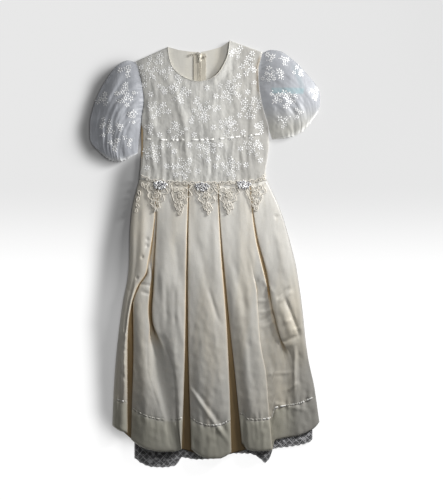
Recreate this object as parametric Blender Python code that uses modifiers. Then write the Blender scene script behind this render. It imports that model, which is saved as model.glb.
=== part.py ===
"""A child's christening gown in ivory satin, laid flat on its back, modelled at real size.

The gown lies in the XY plane with its neck towards +Y and its back on Z = 0. Every table and size
below is in millimetres, and MM turns them into Blender's metres where the points are placed.
"""

import math
from collections import namedtuple

import bmesh
import bpy
import numpy as np
from mathutils import Vector

MM = 0.001

# Cloth and the heights of the layers, from the floor up
WALL = 1.0
SEAM_GAP = 0.3
ARMHOLE_GAP = 1.2
LAYER = WALL + SEAM_GAP
PUFF_WALL = 1.0

BACK_OVERLAY_Z = 0.0
BODICE_BACK_Z = BACK_OVERLAY_Z + LAYER
ZIP_Z = BODICE_BACK_Z + LAYER
SKIRT_BACK_Z = 0.0
PETTICOAT_BACK_Z = SKIRT_BACK_Z + LAYER
PETTICOAT_FRONT_Z = PETTICOAT_BACK_Z + LAYER
UNDERLAY_Z = PETTICOAT_FRONT_Z + LAYER + WALL / 2
SKIRT_SIDE_Z = SKIRT_BACK_Z + LAYER + WALL / 2

# Bodice
WAIST_Y = 155.0
WAIST_RISE = 8.0
WAIST_HALF = 140.0
CENTRE_BACK_X = -12.0
BACK_OPENING = 6.0
ZIP_WIDTH = 26.0
BODICE_SIDE_Z = BODICE_BACK_Z + LAYER + WALL / 2
BODICE_TOP_Z = 4.5
BODICE_ROUND = 16.0
GATHERS = 9
GATHER_HEIGHT = 0.9
GATHER_REACH = 62.0

# Skirt
TUCK = 12.0
PLEAT_RAMP = 1.8
SIDE_ROUND = 14.0
HEM_RIBBON_V = 0.885
RIBBON_WIDTH = 5.0

# Lace and beads
WAIST_LACE_Z = 9.0
WAIST_LACE_THICK = 1.2
WAIST_BRAID = 9.0
PETTICOAT_INSET = 15.0
PETTICOAT_HEM_Y = -392.0
LACE_REPEAT = 50.0
BEAD_R = 4.4
BEAD_FLATNESS = 0.62

Point = namedtuple("Point", "x y")
Side = namedtuple("Side", "y left right")
Ridge = namedtuple("Ridge", "x0 y0 x1 y1 height width")
Ring = namedtuple("Ring", "inner_x inner_y outer_x outer_y follow bow height")
Drop = namedtuple("Drop", "x length tilt")
Hole = namedtuple("Hole", "x y across down turn")

FRONT_NECK = (
    Point(-81.4, 456.5), Point(-80.0, 439.0), Point(-73.8, 416.0), Point(-55.0, 395.3),
    Point(-33.0, 384.0), Point(-13.2, 380.0), Point(6.6, 384.0), Point(26.4, 396.0),
    Point(40.7, 416.0), Point(50.2, 439.0), Point(55.0, 470.0),
)
BACK_NECK_LEFT = (Point(-81.4, 456.5), Point(-58.0, 450.0), Point(-34.0, 446.6))
BACK_NECK_RIGHT = (Point(11.0, 449.5), Point(35.0, 456.5), Point(55.0, 470.0))
SHOULDER_LEFT = Point(-151.8, 424.6)
SHOULDER_RIGHT = Point(126.5, 444.6)

# The bodice's edges from the shoulder tips, round the armholes and down the side seams
BODICE_SIDES = (
    Side(444.6, -151.8, 126.5),
    Side(424.6, -151.8, 120.5),
    Side(410.0, -147.0, 117.3),
    Side(374.0, -138.6, 118.4),
    Side(336.0, -134.4, 124.0),
    Side(305.0, -138.6, 132.0),
    Side(276.0, -140.8, 139.7),
    Side(240.0, -140.8, 140.6),
    Side(205.0, -141.9, 136.6),
    Side(184.0, -143.0, 133.1),
    Side(150.0, -145.5, 136.5),
)
UNDERARM_Y = 276.0

# The largest drag lines and wrinkles of the bodice
BODICE_RIDGES = (
    Ridge(-84.0, 400.0, -48.0, 300.0, 2.4, 9.0),
    Ridge(-48.0, 300.0, -36.0, 205.0, 2.0, 8.0),
    Ridge(-128.0, 335.0, -100.0, 240.0, 2.2, 8.0),
    Ridge(-122.0, 300.0, -116.0, 190.0, 1.6, 6.0),
    Ridge(58.0, 400.0, 70.0, 320.0, 1.6, 10.0),
    Ridge(8.0, 345.0, 24.0, 230.0, 1.4, 12.0),
    Ridge(104.0, 330.0, 112.0, 200.0, 2.2, 8.0),
)

# The skirt's side edges and its pleat edges, from waist (v 0) to hem (v 1). Each pleat opening runs
# from the edge of one panel (l) to the edge of the next (r); the low pleat has one edge only.
SkirtRow = namedtuple(
    "SkirtRow", "v left side_l side_r tuck_l tuck_r b_l b_r c_l c_r low d_l d_r right"
)
SKIRT_ROWS = (
    SkirtRow(0.00, -145.2, -108.9, -113.9, -107.4, -104.5, -36.8, -35.2, 27.3, 28.8, 68.2, 98.1, 99.8, 136.4),
    SkirtRow(0.12, -161.3, -110.9, -115.9, -109.4, -106.0, -39.0, -36.4, 30.4, 32.6, 77.0, 104.1, 106.9, 166.1),
    SkirtRow(0.22, -166.1, -115.9, -120.9, -114.4, -108.7, -40.5, -37.5, 33.9, 36.9, 88.0, 112.6, 116.8, 183.3),
    SkirtRow(0.30, -167.0, -122.3, -126.9, -119.0, -111.3, -41.4, -38.1, 37.2, 41.4, 100.0, 123.6, 129.4, 194.9),
    SkirtRow(0.34, -168.1, -128.7, -126.6, -117.7, -112.2, -41.8, -38.3, 39.2, 43.6, 104.0, 129.4, 135.3, 200.2),
    SkirtRow(0.40, -171.6, -147.4, -144.8, -120.6, -113.7, -42.2, -38.3, 42.2, 47.1, 112.0, 136.4, 141.6, 205.7),
    SkirtRow(0.48, -180.4, -162.4, -158.4, -124.5, -116.8, -42.9, -37.9, 45.8, 51.7, 116.2, 141.9, 148.5, 212.3),
    SkirtRow(0.58, -188.3, -169.4, -157.8, -117.0, -112.0, -43.8, -37.4, 49.3, 57.6, 120.1, 154.0, 160.6, 218.5),
    SkirtRow(0.64, -192.0, -170.6, -157.6, -111.0, -106.8, -44.5, -36.8, 50.9, 61.3, 125.6, 165.0, 171.0, 221.8),
    SkirtRow(0.72, -196.5, -170.9, -158.4, -104.9, -100.6, -45.8, -35.6, 52.8, 66.0, 134.2, 177.0, 181.5, 228.1),
    SkirtRow(0.84, -201.1, -170.9, -160.6, -88.0, -83.6, -48.0, -33.2, 55.4, 72.6, 139.9, 181.5, 185.9, 241.1),
    SkirtRow(1.00, -204.6, -170.7, -162.8, -70.4, -66.0, -51.7, -30.4, 57.9, 81.4, 148.5, 186.0, 190.4, 252.3),
)

# How far each panel and each pleat's floor stands above the underlay, at the same rows
SkirtHeight = namedtuple("SkirtHeight", "v box inner low far tuck_floor d_floor")
SKIRT_HEIGHTS = (
    SkirtHeight(0.00, 3.2, 0.0, 3.2, 3.2, 0.0, 0.0),
    SkirtHeight(0.12, 3.5, 0.0, 3.5, 3.5, 0.0, 0.0),
    SkirtHeight(0.22, 5.4, 0.0, 5.4, 5.2, 0.0, 0.0),
    SkirtHeight(0.30, 7.0, 0.6, 7.0, 6.8, 0.0, 0.0),
    SkirtHeight(0.34, 7.6, 3.4, 7.2, 7.4, 0.0, 0.0),
    SkirtHeight(0.40, 8.2, 6.4, 4.6, 7.8, 0.0, 0.0),
    SkirtHeight(0.48, 8.8, 8.0, 1.0, 8.2, 0.0, 0.8),
    SkirtHeight(0.58, 9.2, 8.6, 1.0, 8.0, 0.0, 0.8),
    SkirtHeight(0.64, 9.4, 8.8, 1.0, 5.0, 0.8, 0.8),
    SkirtHeight(0.72, 9.6, 9.0, 1.0, 1.2, 2.6, 0.9),
    SkirtHeight(0.84, 9.6, 9.2, 1.2, 1.6, 6.4, 1.1),
    SkirtHeight(1.00, 9.2, 9.2, 1.4, 2.2, 9.0, 1.3),
)
HEM = (
    Point(-204.6, -378.0), Point(-187.0, -389.0), Point(-170.7, -394.0), Point(-162.8, -409.0),
    Point(-145.0, -422.0), Point(-121.0, -431.0), Point(-96.0, -435.0), Point(-70.0, -435.0),
    Point(-51.7, -430.0), Point(-41.0, -425.0), Point(-30.4, -430.0), Point(-15.0, -442.0),
    Point(13.0, -450.0), Point(32.0, -450.0), Point(46.0, -444.5), Point(57.9, -436.0),
    Point(69.0, -424.0), Point(81.4, -418.0), Point(94.0, -431.0), Point(115.0, -433.5),
    Point(148.5, -432.0), Point(153.0, -412.0), Point(207.0, -400.6), Point(230.0, -391.0),
    Point(243.3, -382.0), Point(252.3, -371.0),
)

# Sleeve rings from the armhole to the cuff: both ends on the floor, how much a ring follows the
# armhole's curve, how far it bows towards the shoulder (minus, towards the cuff), and its height
LEFT_SLEEVE = (
    Ring(-142.2, 275.0, -152.6, 423.0, 1.00, 0.0, 5.6),
    Ring(-143.2, 269.5, -171.0, 427.0, 0.75, 0.0, 13.0),
    Ring(-144.0, 264.0, -193.0, 416.5, 0.45, 0.0, 19.0),
    Ring(-144.9, 258.5, -215.6, 388.0, 0.25, 0.0, 23.0),
    Ring(-145.8, 253.0, -233.2, 357.5, 0.10, 0.0, 25.0),
    Ring(-146.5, 246.5, -246.4, 323.5, 0.00, 0.0, 25.0),
    Ring(-147.0, 240.0, -253.9, 289.3, 0.00, -4.0, 23.0),
    Ring(-147.7, 232.5, -254.3, 260.7, 0.00, -10.0, 19.5),
    Ring(-148.4, 226.0, -248.6, 242.0, 0.00, -18.0, 14.5),
    Ring(-149.2, 221.5, -241.0, 233.5, 0.00, -23.0, 9.0),
)
RIGHT_SLEEVE = (
    Ring(141.2, 275.0, 127.3, 443.0, 1.00, 0.0, 5.6),
    Ring(142.2, 271.5, 145.2, 450.3, 0.75, 0.0, 13.0),
    Ring(143.0, 268.5, 165.0, 447.7, 0.45, 0.0, 19.0),
    Ring(143.8, 265.8, 187.0, 433.8, 0.25, 0.0, 23.0),
    Ring(144.6, 263.2, 207.9, 415.8, 0.10, 0.0, 25.0),
    Ring(145.2, 260.8, 227.7, 393.8, 0.00, 0.0, 25.0),
    Ring(145.9, 258.6, 244.9, 372.4, 0.00, -3.0, 23.0),
    Ring(146.6, 256.4, 253.4, 350.9, 0.00, -8.0, 19.5),
    Ring(147.4, 254.4, 253.8, 331.1, 0.00, -14.0, 14.5),
    Ring(148.6, 252.6, 247.5, 310.2, 0.00, -18.0, 9.0),
)
SLEEVE_TOP_POINTS = 26
SLEEVE_FLOOR_POINTS = 8
SLEEVE_END_Z = 2.4
SLEEVE_GATHERS = 6
SLEEVE_GATHER_HEIGHT = 1.1

# The waist lace: where each point of the lace hangs, and one point's outline and openings
LACE_DROPS = (
    Drop(-105.0, 64.0, -0.07), Drop(-53.0, 67.0, -0.03), Drop(1.0, 65.0, 0.11),
    Drop(51.0, 64.0, 0.01), Drop(111.0, 61.0, 0.04),
)
DROP_OUTLINE = (
    Point(-19.5, 0.00), Point(-17.5, 0.10), Point(-18.5, 0.24), Point(-13.0, 0.36),
    Point(-12.5, 0.50), Point(-8.0, 0.60), Point(-8.5, 0.74), Point(-4.0, 0.80), Point(-1.5, 1.00),
    Point(2.5, 0.84), Point(6.5, 0.80), Point(6.0, 0.64), Point(11.0, 0.54),
    Point(11.5, 0.40), Point(18.5, 0.28), Point(17.0, 0.12), Point(19.5, 0.00),
)
DROP_HOLES = (
    Hole(-10.5, 0.17, 7.0, 9.0, 0.5), Hole(10.0, 0.17, 7.0, 9.0, -0.5),
    Hole(0.0, 0.23, 6.0, 10.0, 0.0), Hole(-6.0, 0.43, 6.0, 9.0, -0.4),
    Hole(5.0, 0.43, 6.0, 9.0, 0.4), Hole(-1.5, 0.66, 5.0, 9.0, 0.0),
)
LACE_LEFT, LACE_RIGHT = -141.0, 134.0

# The lower edge of the petticoat's lace, and the openings of one repeat of it
LACE_HEM = (
    Point(-156.0, -450.0), Point(-140.0, -462.0), Point(-118.0, -470.0), Point(-92.0, -471.0),
    Point(-64.0, -466.5), Point(-52.0, -449.0), Point(-20.0, -453.5), Point(20.0, -452.0),
    Point(64.0, -440.0), Point(100.0, -441.0), Point(118.0, -449.0), Point(133.0, -461.0),
    Point(142.0, -452.0), Point(151.0, -430.0), Point(190.0, -425.0), Point(224.0, -418.0),
    Point(240.0, -407.0), Point(245.0, -402.0),
)
LACE_HOLES = (
    Hole(0.0, 20.0, 10.5, 13.0, 0.0), Hole(25.0, 14.0, 6.0, 7.5, 0.0),
    Hole(13.0, 31.0, 6.5, 6.5, 0.0), Hole(-13.0, 31.0, 6.5, 6.5, 0.0),
    Hole(25.0, 28.0, 7.0, 5.5, 0.0),
)
SCALLOP = 12.5
SCALLOP_DEPTH = 2.6

BEAD_SPOTS = (Point(-99.0, 151.5), Point(-7.0, 148.0), Point(85.0, 152.5))
BEAD_RING = (
    Point(0.0, 0.0), Point(7.0, 2.4), Point(-7.0, 3.4), Point(0.8, 6.8), Point(-6.6, -3.8),
    Point(5.8, -4.6), Point(-0.6, -6.8), Point(12.6, -1.2), Point(-13.0, -0.4),
)


def smooth(t):
    t = min(max(t, 0.0), 1.0)
    return t * t * (3.0 - 2.0 * t)


def mix(a, b, t):
    return a + (b - a) * t


def eased(keys, values, at):
    """A smooth curve through the values at rising keys, with no overshoot between them."""
    at = min(max(at, keys[0]), keys[-1])
    gaps = np.diff(keys)
    slopes = np.diff(values) / gaps
    tangents = [slopes[0]]
    for before, after in zip(slopes[:-1], slopes[1:]):
        same_way = before * after > 0
        tangents.append(2 * before * after / (before + after) if same_way else 0.0)
    tangents.append(slopes[-1])
    i = min(int(np.searchsorted(keys, at, side="right")) - 1, len(gaps) - 1)
    t = (at - keys[i]) / gaps[i]
    start = (1 + 2 * t) * (1 - t) ** 2 * values[i] + t * (1 - t) ** 2 * gaps[i] * tangents[i]
    end = t * t * (3 - 2 * t) * values[i + 1] + t * t * (t - 1) * gaps[i] * tangents[i + 1]
    return float(start + end)


def read(table, key, value, at):
    """One column of a table, read smoothly at a value of its key column."""
    rows = sorted(table, key=lambda row: getattr(row, key))
    return eased([getattr(row, key) for row in rows], [getattr(row, value) for row in rows], at)


def along_points(points, share):
    """The point at a share of a polyline's length, on a smooth curve through its points."""
    lengths = [0.0]
    for a, b in zip(points[:-1], points[1:]):
        lengths.append(lengths[-1] + math.hypot(b.x - a.x, b.y - a.y))
    at = share * lengths[-1]
    xs = [point.x for point in points]
    ys = [point.y for point in points]
    return Point(eased(lengths, xs, at), eased(lengths, ys, at))


def ridge_height(ridges, x, y):
    """The height that soft folds along straight lines add at a place."""
    total = 0.0
    for ridge in ridges:
        along = Vector((ridge.x1 - ridge.x0, ridge.y1 - ridge.y0))
        here = Vector((x - ridge.x0, y - ridge.y0))
        share = here.dot(along) / along.length_squared
        off = abs(here.x * along.y - here.y * along.x) / along.length
        fade = smooth((share + 0.25) / 0.4) * smooth((1.25 - share) / 0.4)
        total += ridge.height * fade * math.exp(-((off / ridge.width) ** 2))
    return total


def waist_y(x):
    return WAIST_Y + WAIST_RISE * (x / WAIST_HALF) ** 2


def waist_points(start, end, lift, steps=12):
    """The curved waist seam from one x to another, moved up by lift."""
    xs = [mix(start, end, i / steps) for i in range(steps + 1)]
    return [Point(x, waist_y(x) + lift) for x in xs]


# Bodice

def bodice_left(y):
    return read(BODICE_SIDES, "y", "left", y)


def bodice_right(y):
    return read(BODICE_SIDES, "y", "right", y)


def shoulder_clearance(x, y):
    """How far a place lies below both shoulder seams, each carried on past the neck."""
    left = (x - SHOULDER_LEFT.x) / (FRONT_NECK[0].x - SHOULDER_LEFT.x)
    right = (x - SHOULDER_RIGHT.x) / (FRONT_NECK[-1].x - SHOULDER_RIGHT.x)
    left_y = mix(SHOULDER_LEFT.y, FRONT_NECK[0].y, left)
    right_y = mix(SHOULDER_RIGHT.y, FRONT_NECK[-1].y, right)
    return min(left_y, right_y) - y


def bodice_height(x, y):
    """The middle of the bodice front's satin above the floor."""
    inside = min(x - bodice_left(y), bodice_right(y) - x, shoulder_clearance(x, y))
    round_off = math.sqrt(smooth(inside / BODICE_ROUND))
    low = smooth((y - waist_y(x)) / 20.0)
    folds = ridge_height(BODICE_RIDGES, x, y) * low
    gather = 0.5 + 0.5 * math.cos(2 * math.pi * GATHERS * x / (2 * WAIST_HALF) + 0.6 * math.sin(x / 31.0))
    folds += GATHER_HEIGHT * gather * smooth(1.0 - (y - waist_y(x)) / GATHER_REACH)
    return mix(BODICE_SIDE_Z, BODICE_TOP_Z, round_off) + folds * round_off


def bodice_top_points(shoulder_steps, neck_steps):
    """The front's upper edge from shoulder tip to shoulder tip, round the neck."""
    points = []
    for i in range(shoulder_steps):
        t = i / shoulder_steps
        points.append(Point(mix(SHOULDER_LEFT.x, FRONT_NECK[0].x, t), mix(SHOULDER_LEFT.y, FRONT_NECK[0].y, t)))
    for i in range(neck_steps + 1):
        points.append(along_points(FRONT_NECK, i / neck_steps))
    for i in range(1, shoulder_steps + 1):
        t = i / shoulder_steps
        last = FRONT_NECK[-1]
        points.append(Point(mix(last.x, SHOULDER_RIGHT.x, t), mix(last.y, SHOULDER_RIGHT.y, t)))
    return points


def bodice_point(top, u, v, shoulder_share):
    """A place on the bodice front, u across and v from the upper edge to the waist."""
    across = mix(u, (top.x - SHOULDER_LEFT.x) / (SHOULDER_RIGHT.x - SHOULDER_LEFT.x), 0.5)
    low_left, low_right = bodice_left(WAIST_Y), bodice_right(WAIST_Y)
    low_x = mix(low_left, low_right, across)
    y = mix(top.y, waist_y(low_x) + SEAM_GAP, v)
    spread = v**0.75
    x = mix(top.x, low_x, spread)
    left_line = mix(SHOULDER_LEFT.x, low_left, spread)
    left_y = mix(SHOULDER_LEFT.y, waist_y(low_left), v)
    right_line = mix(SHOULDER_RIGHT.x, low_right, spread)
    right_y = mix(SHOULDER_RIGHT.y, waist_y(low_right), v)
    x += (bodice_left(left_y) - left_line) * smooth(1.0 - u / shoulder_share)
    x += (bodice_right(right_y) - right_line) * smooth(1.0 - (1.0 - u) / shoulder_share)
    return Vector((x, y, bodice_height(x, y)))


# Skirt

def skirt_row(v, column):
    return read(SKIRT_ROWS, "v", column, v)


def skirt_height(v, column):
    return UNDERLAY_Z + read(SKIRT_HEIGHTS, "v", column, v)


def pleat_fold(edge, facing, high, low, room, kept=1.0):
    """A panel's edge: round under the panel, back by the tuck, and round again to the layer below.
    Where the pleat is not kept or the step is small, the edge is a plain slope instead."""
    step = max(high - low, 0.0)
    tucked = kept * smooth((step - 1.6) / 1.2) * smooth((room - 2.0) / 4.0)
    depth = min(TUCK, max(room, 1.0))
    radius = step / 4
    points = []
    for i in range(8):
        arc, turn = divmod(i, 4)
        angle = math.pi * turn / 3
        if arc == 0:
            round_x = radius * (math.sin(angle) - 1)
            round_z = high - radius * (1 - math.cos(angle))
        else:
            round_x = -depth - radius * math.sin(angle)
            round_z = high - radius * (3 - math.cos(angle))
        share = i / 7
        slope_x = PLEAT_RAMP * share
        slope_z = high - step * smooth(share)
        points.append((edge + facing * mix(slope_x, round_x, tucked), mix(slope_z, round_z, tucked)))
    return points


def panel_top(start, end, height, crown, steps=3):
    """The top of a panel between its two folds, a little higher in the middle."""
    points = []
    for i in range(1, steps + 1):
        share = i / (steps + 1)
        points.append((mix(start, end, share), height + crown * math.sin(math.pi * share)))
    return points


def skirt_side(edge, facing, height):
    """A side of the skirt front, from its lower edge up to the panel's top."""
    points = []
    for i in range(4):
        angle = math.pi / 2 * i / 3
        x = edge + facing * SIDE_ROUND * (1 - math.cos(angle))
        points.append((x, mix(SKIRT_SIDE_Z, height, math.sin(angle))))
    return points


def skirt_section(v):
    """The skirt front cut across at v, as the middle line of its cloth from left to right, and where
    the top of each panel starts and ends in it."""
    box = skirt_height(v, "box")
    inner = skirt_height(v, "inner")
    low = skirt_height(v, "low")
    far = skirt_height(v, "far")
    ground = UNDERLAY_Z
    x = {name: skirt_row(v, name) for name in SkirtRow._fields if name != "v"}
    crown = mix(0.2, 1.6, smooth(v / 0.5))
    room = {
        "side": x["side_l"] - x["left"] - SIDE_ROUND - 2,
        "inner": (x["tuck_l"] - x["side_r"]) / 2 - 3.5,
        "wide": (x["b_l"] - x["tuck_r"]) / 2 - 3.5,
        "centre": (x["c_l"] - x["b_r"]) / 2 - 3.5,
        "right": (x["low"] - x["c_r"]) / 2 - 3.5,
        "low": (x["d_l"] - x["low"]) / 2 - 3.5,
        "far": (x["right"] - x["d_r"]) / 2 - 3.5,
    }
    floor_a = ground + read(SKIRT_HEIGHTS, "v", "tuck_floor", v)
    floor_d = ground + read(SKIRT_HEIGHTS, "v", "d_floor", v)
    starts = smooth((v - 0.34) / 0.06)
    fades_a = smooth((0.84 - v) / 0.12)
    drops = smooth((v - 0.40) / 0.08)
    fades_low = smooth((0.40 - v) / 0.06)
    fades_far = smooth((0.64 - v) / 0.06)
    low_floor_a, low_floor_d = min(floor_a, inner), min(floor_d, low)
    panels = (
        # name, left fold, height, right fold; a fold is (edge, layer below, room, how far it is kept)
        ("side", None, box, (x["side_l"], ground, room["side"], 1.0)),
        (
            "inner", (x["side_r"], ground, room["inner"], starts), inner,
            (x["tuck_l"], low_floor_a, room["inner"], starts * fades_a),
        ),
        ("wide", (x["tuck_r"], floor_a, room["wide"], fades_a), box, (x["b_l"], ground, room["wide"], 1.0)),
        ("centre", (x["b_r"], ground, room["centre"], 1.0), box, (x["c_l"], ground, room["centre"], 1.0)),
        ("right", (x["c_r"], ground, room["right"], 1.0), box, (x["low"], low, room["right"], drops)),
        ("low", None, low, (x["d_l"], low_floor_d, room["low"], fades_low)),
        ("far", (x["d_r"], min(floor_d, far), room["far"], fades_far), far, None),
    )
    points, tops = [], {}
    for name, left, height, right in panels:
        if left:
            points += list(reversed(pleat_fold(left[0], -1, height, *left[1:])))
        elif name == "side":
            points += skirt_side(x["left"], 1, height)
        first = len(points) - 1
        end = pleat_fold(right[0], 1, height, *right[1:]) if right else None
        if end is None:
            end = list(reversed(skirt_side(x["right"], -1, height)))
        low_crown = crown if name not in ("low", "far") else 0.4 * crown
        points += panel_top(points[-1][0], end[0][0], height, low_crown)
        tops[name] = (first, len(points))
        points += end
    return points, tops


def hem_y(x):
    return eased([point.x for point in HEM], [point.y for point in HEM], x)


def skirt_points(v):
    """The points of one row of the skirt front."""
    points, _ = skirt_section(v)
    return [Vector((x, mix(waist_y(x) - SEAM_GAP, hem_y(x), v), z)) for x, z in points]


# Sleeves

def armhole_bend(rings, side, share):
    """How far the armhole's curve lies from the straight line between its ends."""
    first = rings[0]
    y = mix(first.inner_y, first.outer_y, share)
    edge = bodice_left(y) if side < 0 else bodice_right(y)
    return edge + side * ARMHOLE_GAP - mix(first.inner_x, first.outer_x, share)


def sleeve_ring(rings, side, index, top_points, floor_points):
    """One closed ring round a sleeve: over the top from its inner end to its outer end and back
    along the floor."""
    ring = rings[index]
    run = Vector((ring.outer_x - ring.inner_x, ring.outer_y - ring.inner_y))
    towards_shoulder = Vector((-side * run.y, side * run.x)).normalized()
    head = smooth(1.0 - index / 3.5)
    cuff = smooth((index - 5.0) / 4.0)
    places = [(i / top_points, True) for i in range(top_points + 1)]
    places += [(1.0 - (i + 0.6) / (floor_points + 0.2), False) for i in range(floor_points)]
    points = []
    for share, on_top in places:
        bulge = math.sin(math.pi * share)
        plan = Vector((ring.inner_x, ring.inner_y)) + run * share + towards_shoulder * ring.bow * bulge
        plan.x += ring.follow * armhole_bend(rings, side, share) * (1.0 if index == 0 else bulge ** 0.5)
        arch = max(bulge, 0.0) ** 0.6
        z = SLEEVE_END_Z + (ring.height - SLEEVE_END_Z) * arch if on_top else 0.0
        if on_top and 0 < index:
            wave = 0.5 - 0.5 * math.cos(2 * math.pi * SLEEVE_GATHERS * share)
            z += SLEEVE_GATHER_HEIGHT * wave * bulge * (cuff + head * smooth((share - 0.4) / 0.3))
        points.append(Vector((plan.x, plan.y, z)))
    return points


# Lace

def plate_ring(hole, centre_x, centre_y, corners):
    """An opening's rim: an oval with a few corners, turned about its middle."""
    rim = []
    for i in range(corners):
        angle = 2 * math.pi * i / corners
        x = hole.across / 2 * math.cos(angle)
        y = hole.down / 2 * math.sin(angle)
        rim.append(Point(
            centre_x + x * math.cos(hole.turn) - y * math.sin(hole.turn),
            centre_y + x * math.sin(hole.turn) + y * math.cos(hole.turn),
        ))
    return rim


def waist_lace_outline():
    """The braid's upper edge, then its lower edge with a point at each drop."""
    steps = 24
    outline = []
    for i in range(steps + 1):
        x = mix(LACE_LEFT, LACE_RIGHT, i / steps)
        outline.append(Point(x, waist_y(x) + WAIST_BRAID / 2 + 1.2 * math.cos(math.pi * i)))
    for drop in reversed(LACE_DROPS):
        for point in reversed(DROP_OUTLINE):
            top = waist_y(drop.x + point.x) - WAIST_BRAID / 2
            down = drop.length * point.y
            outline.append(Point(drop.x + point.x + drop.tilt * down, top - down))
    return outline


def waist_lace_holes():
    holes = []
    for drop in LACE_DROPS:
        for hole in DROP_HOLES:
            down = drop.length * hole.y
            x = drop.x + hole.x + drop.tilt * down
            holes.append(plate_ring(hole, x, waist_y(drop.x) - WAIST_BRAID / 2 - down, 7))
    return holes


def lace_hem_y(x):
    return eased([point.x for point in LACE_HEM], [point.y for point in LACE_HEM], x)


def petticoat_lace_outline(left, right, rise, phase):
    """The lace edging: its straight top under the skirt and its scalloped lower edge."""
    outline = [Point(left, PETTICOAT_HEM_Y - SEAM_GAP), Point(right, PETTICOAT_HEM_Y - SEAM_GAP)]
    if right > 150:
        outline[1:] = [Point(140.0, PETTICOAT_HEM_Y - SEAM_GAP), Point(right, PETTICOAT_HEM_Y + 12.0)]
    steps = int((right - left) / (SCALLOP / 3))
    for i in range(steps, -1, -1):
        x = mix(left, right, i / steps)
        wave = abs(math.sin(math.pi * (x + phase) / SCALLOP))
        outline.append(Point(x, lace_hem_y(x) + rise - SCALLOP_DEPTH * (wave - 0.5)))
    return outline


def petticoat_lace_holes(left, right, rise, phase):
    """The openings of the lace, repeated along its lower edge."""
    holes = []
    count = int((right - left) / LACE_REPEAT) + 2
    for i in range(count):
        for hole in LACE_HOLES:
            x = left + phase + i * LACE_REPEAT + hole.x
            y = lace_hem_y(x) + rise + 4.0 + hole.y
            clear = left + 7 < x < right - 7
            steep = abs(lace_hem_y(x + 6) - lace_hem_y(x - 6)) > 9
            if clear and not steep and y + hole.down / 2 < PETTICOAT_HEM_Y - 4:
                holes.append(plate_ring(hole, x, y, 4))
    return holes


# Blender objects

def material(name, colour, roughness, metallic=0.0):
    made = bpy.data.materials.new(name)
    made.use_nodes = True
    shader = made.node_tree.nodes["Principled BSDF"]
    shader.inputs["Base Color"].default_value = (*colour, 1.0)
    shader.inputs["Roughness"].default_value = roughness
    shader.inputs["Metallic"].default_value = metallic
    return made


def new_object(name, data, finish, collection):
    obj = bpy.data.objects.new(name, data)
    obj.data.materials.append(finish)
    collection.objects.link(obj)
    return obj


def grid_mesh(name, columns, rows, place, closed=False):
    """A grid of faces whose corners stand where place(column, row) says."""
    bm = bmesh.new()
    bmesh.ops.create_grid(bm, x_segments=columns, y_segments=rows, size=0.5)
    for vert in bm.verts:
        column = round((vert.co.x + 0.5) * columns)
        row = round((vert.co.y + 0.5) * rows)
        vert.co = place(column, row) * MM
    if closed:
        bmesh.ops.remove_doubles(bm, verts=bm.verts, dist=0.01 * MM)
        bmesh.ops.recalc_face_normals(bm, faces=bm.faces)
    mesh = bpy.data.meshes.new(name)
    bm.to_mesh(mesh)
    bm.free()
    mesh.shade_smooth()
    return mesh


def shell(name, mesh, thickness, offset, finish, collection):
    """An open sheet of cloth given its wall."""
    obj = new_object(name, mesh, finish, collection)
    wall = obj.modifiers.new("Wall", "SOLIDIFY")
    wall.thickness = thickness * MM
    wall.offset = offset
    return obj


def plate(name, outline, holes, bottom, thickness, finish, collection):
    """A flat piece of cloth or lace: a filled outline with its openings cut out."""
    curve = bpy.data.curves.new(name, "CURVE")
    curve.dimensions = "2D"
    curve.fill_mode = "BOTH"
    curve.extrude = thickness / 2 * MM
    for rim in [outline, *holes]:
        spline = curve.splines.new("POLY")
        spline.points.add(len(rim) - 1)
        for corner, point in zip(spline.points, rim):
            corner.co = (point.x * MM, point.y * MM, 0.0, 1.0)
        spline.use_cyclic_u = True
    obj = new_object(name, curve, finish, collection)
    obj.location.z = (bottom + thickness / 2) * MM
    return obj


def make_bodice_front(satin, organza, collection):
    shoulder_steps, neck_steps, rows = 4, 16, 11
    tops = bodice_top_points(shoulder_steps, neck_steps)
    columns = len(tops) - 1

    def place(lift):
        def at(column, row):
            point = bodice_point(tops[column], column / columns, row / rows, shoulder_steps / columns)
            return point + Vector((0.0, 0.0, lift))
        return at

    shell("bodice_front", grid_mesh("bodice_front", columns, rows, place(0.0)), WALL, 0.0, satin, collection)
    overlay = grid_mesh("bodice_front_overlay", columns, rows, place(LAYER + 0.4))
    shell("bodice_front_overlay", overlay, WALL, 0.0, organza, collection)


def bodice_back_half(side):
    """The outline of one half of the bodice back, from the centre opening round to the waist."""
    centre = CENTRE_BACK_X + side * BACK_OPENING / 2
    neck = BACK_NECK_LEFT if side < 0 else tuple(reversed(BACK_NECK_RIGHT))
    tip = SHOULDER_LEFT if side < 0 else SHOULDER_RIGHT
    edge = bodice_left if side < 0 else bodice_right
    outline = [tip, *neck, Point(centre, 445.5)]
    outline += waist_points(centre, edge(WAIST_Y), SEAM_GAP, 6)
    for y in (184.0, 205.0, 240.0, UNDERARM_Y, 305.0, 336.0, 355.0, 374.0, 392.0, 410.0):
        outline.append(Point(edge(y), y))
    return outline


def make_bodice_back(satin, organza, tape, collection):
    for side, word in ((-1, "left"), (1, "right")):
        outline = bodice_back_half(side)
        plate(f"bodice_back_{word}", outline, [], BODICE_BACK_Z, WALL, satin, collection)
        plate(f"bodice_back_overlay_{word}", outline, [], BACK_OVERLAY_Z, WALL, organza, collection)
    left, right = CENTRE_BACK_X - ZIP_WIDTH / 2, CENTRE_BACK_X + ZIP_WIDTH / 2
    outline = [Point(left, 442.0), Point(right, 442.0), Point(right, 162.0), Point(left, 162.0)]
    plate("zip_tape", outline, [], ZIP_Z, WALL, tape, collection)


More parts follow.
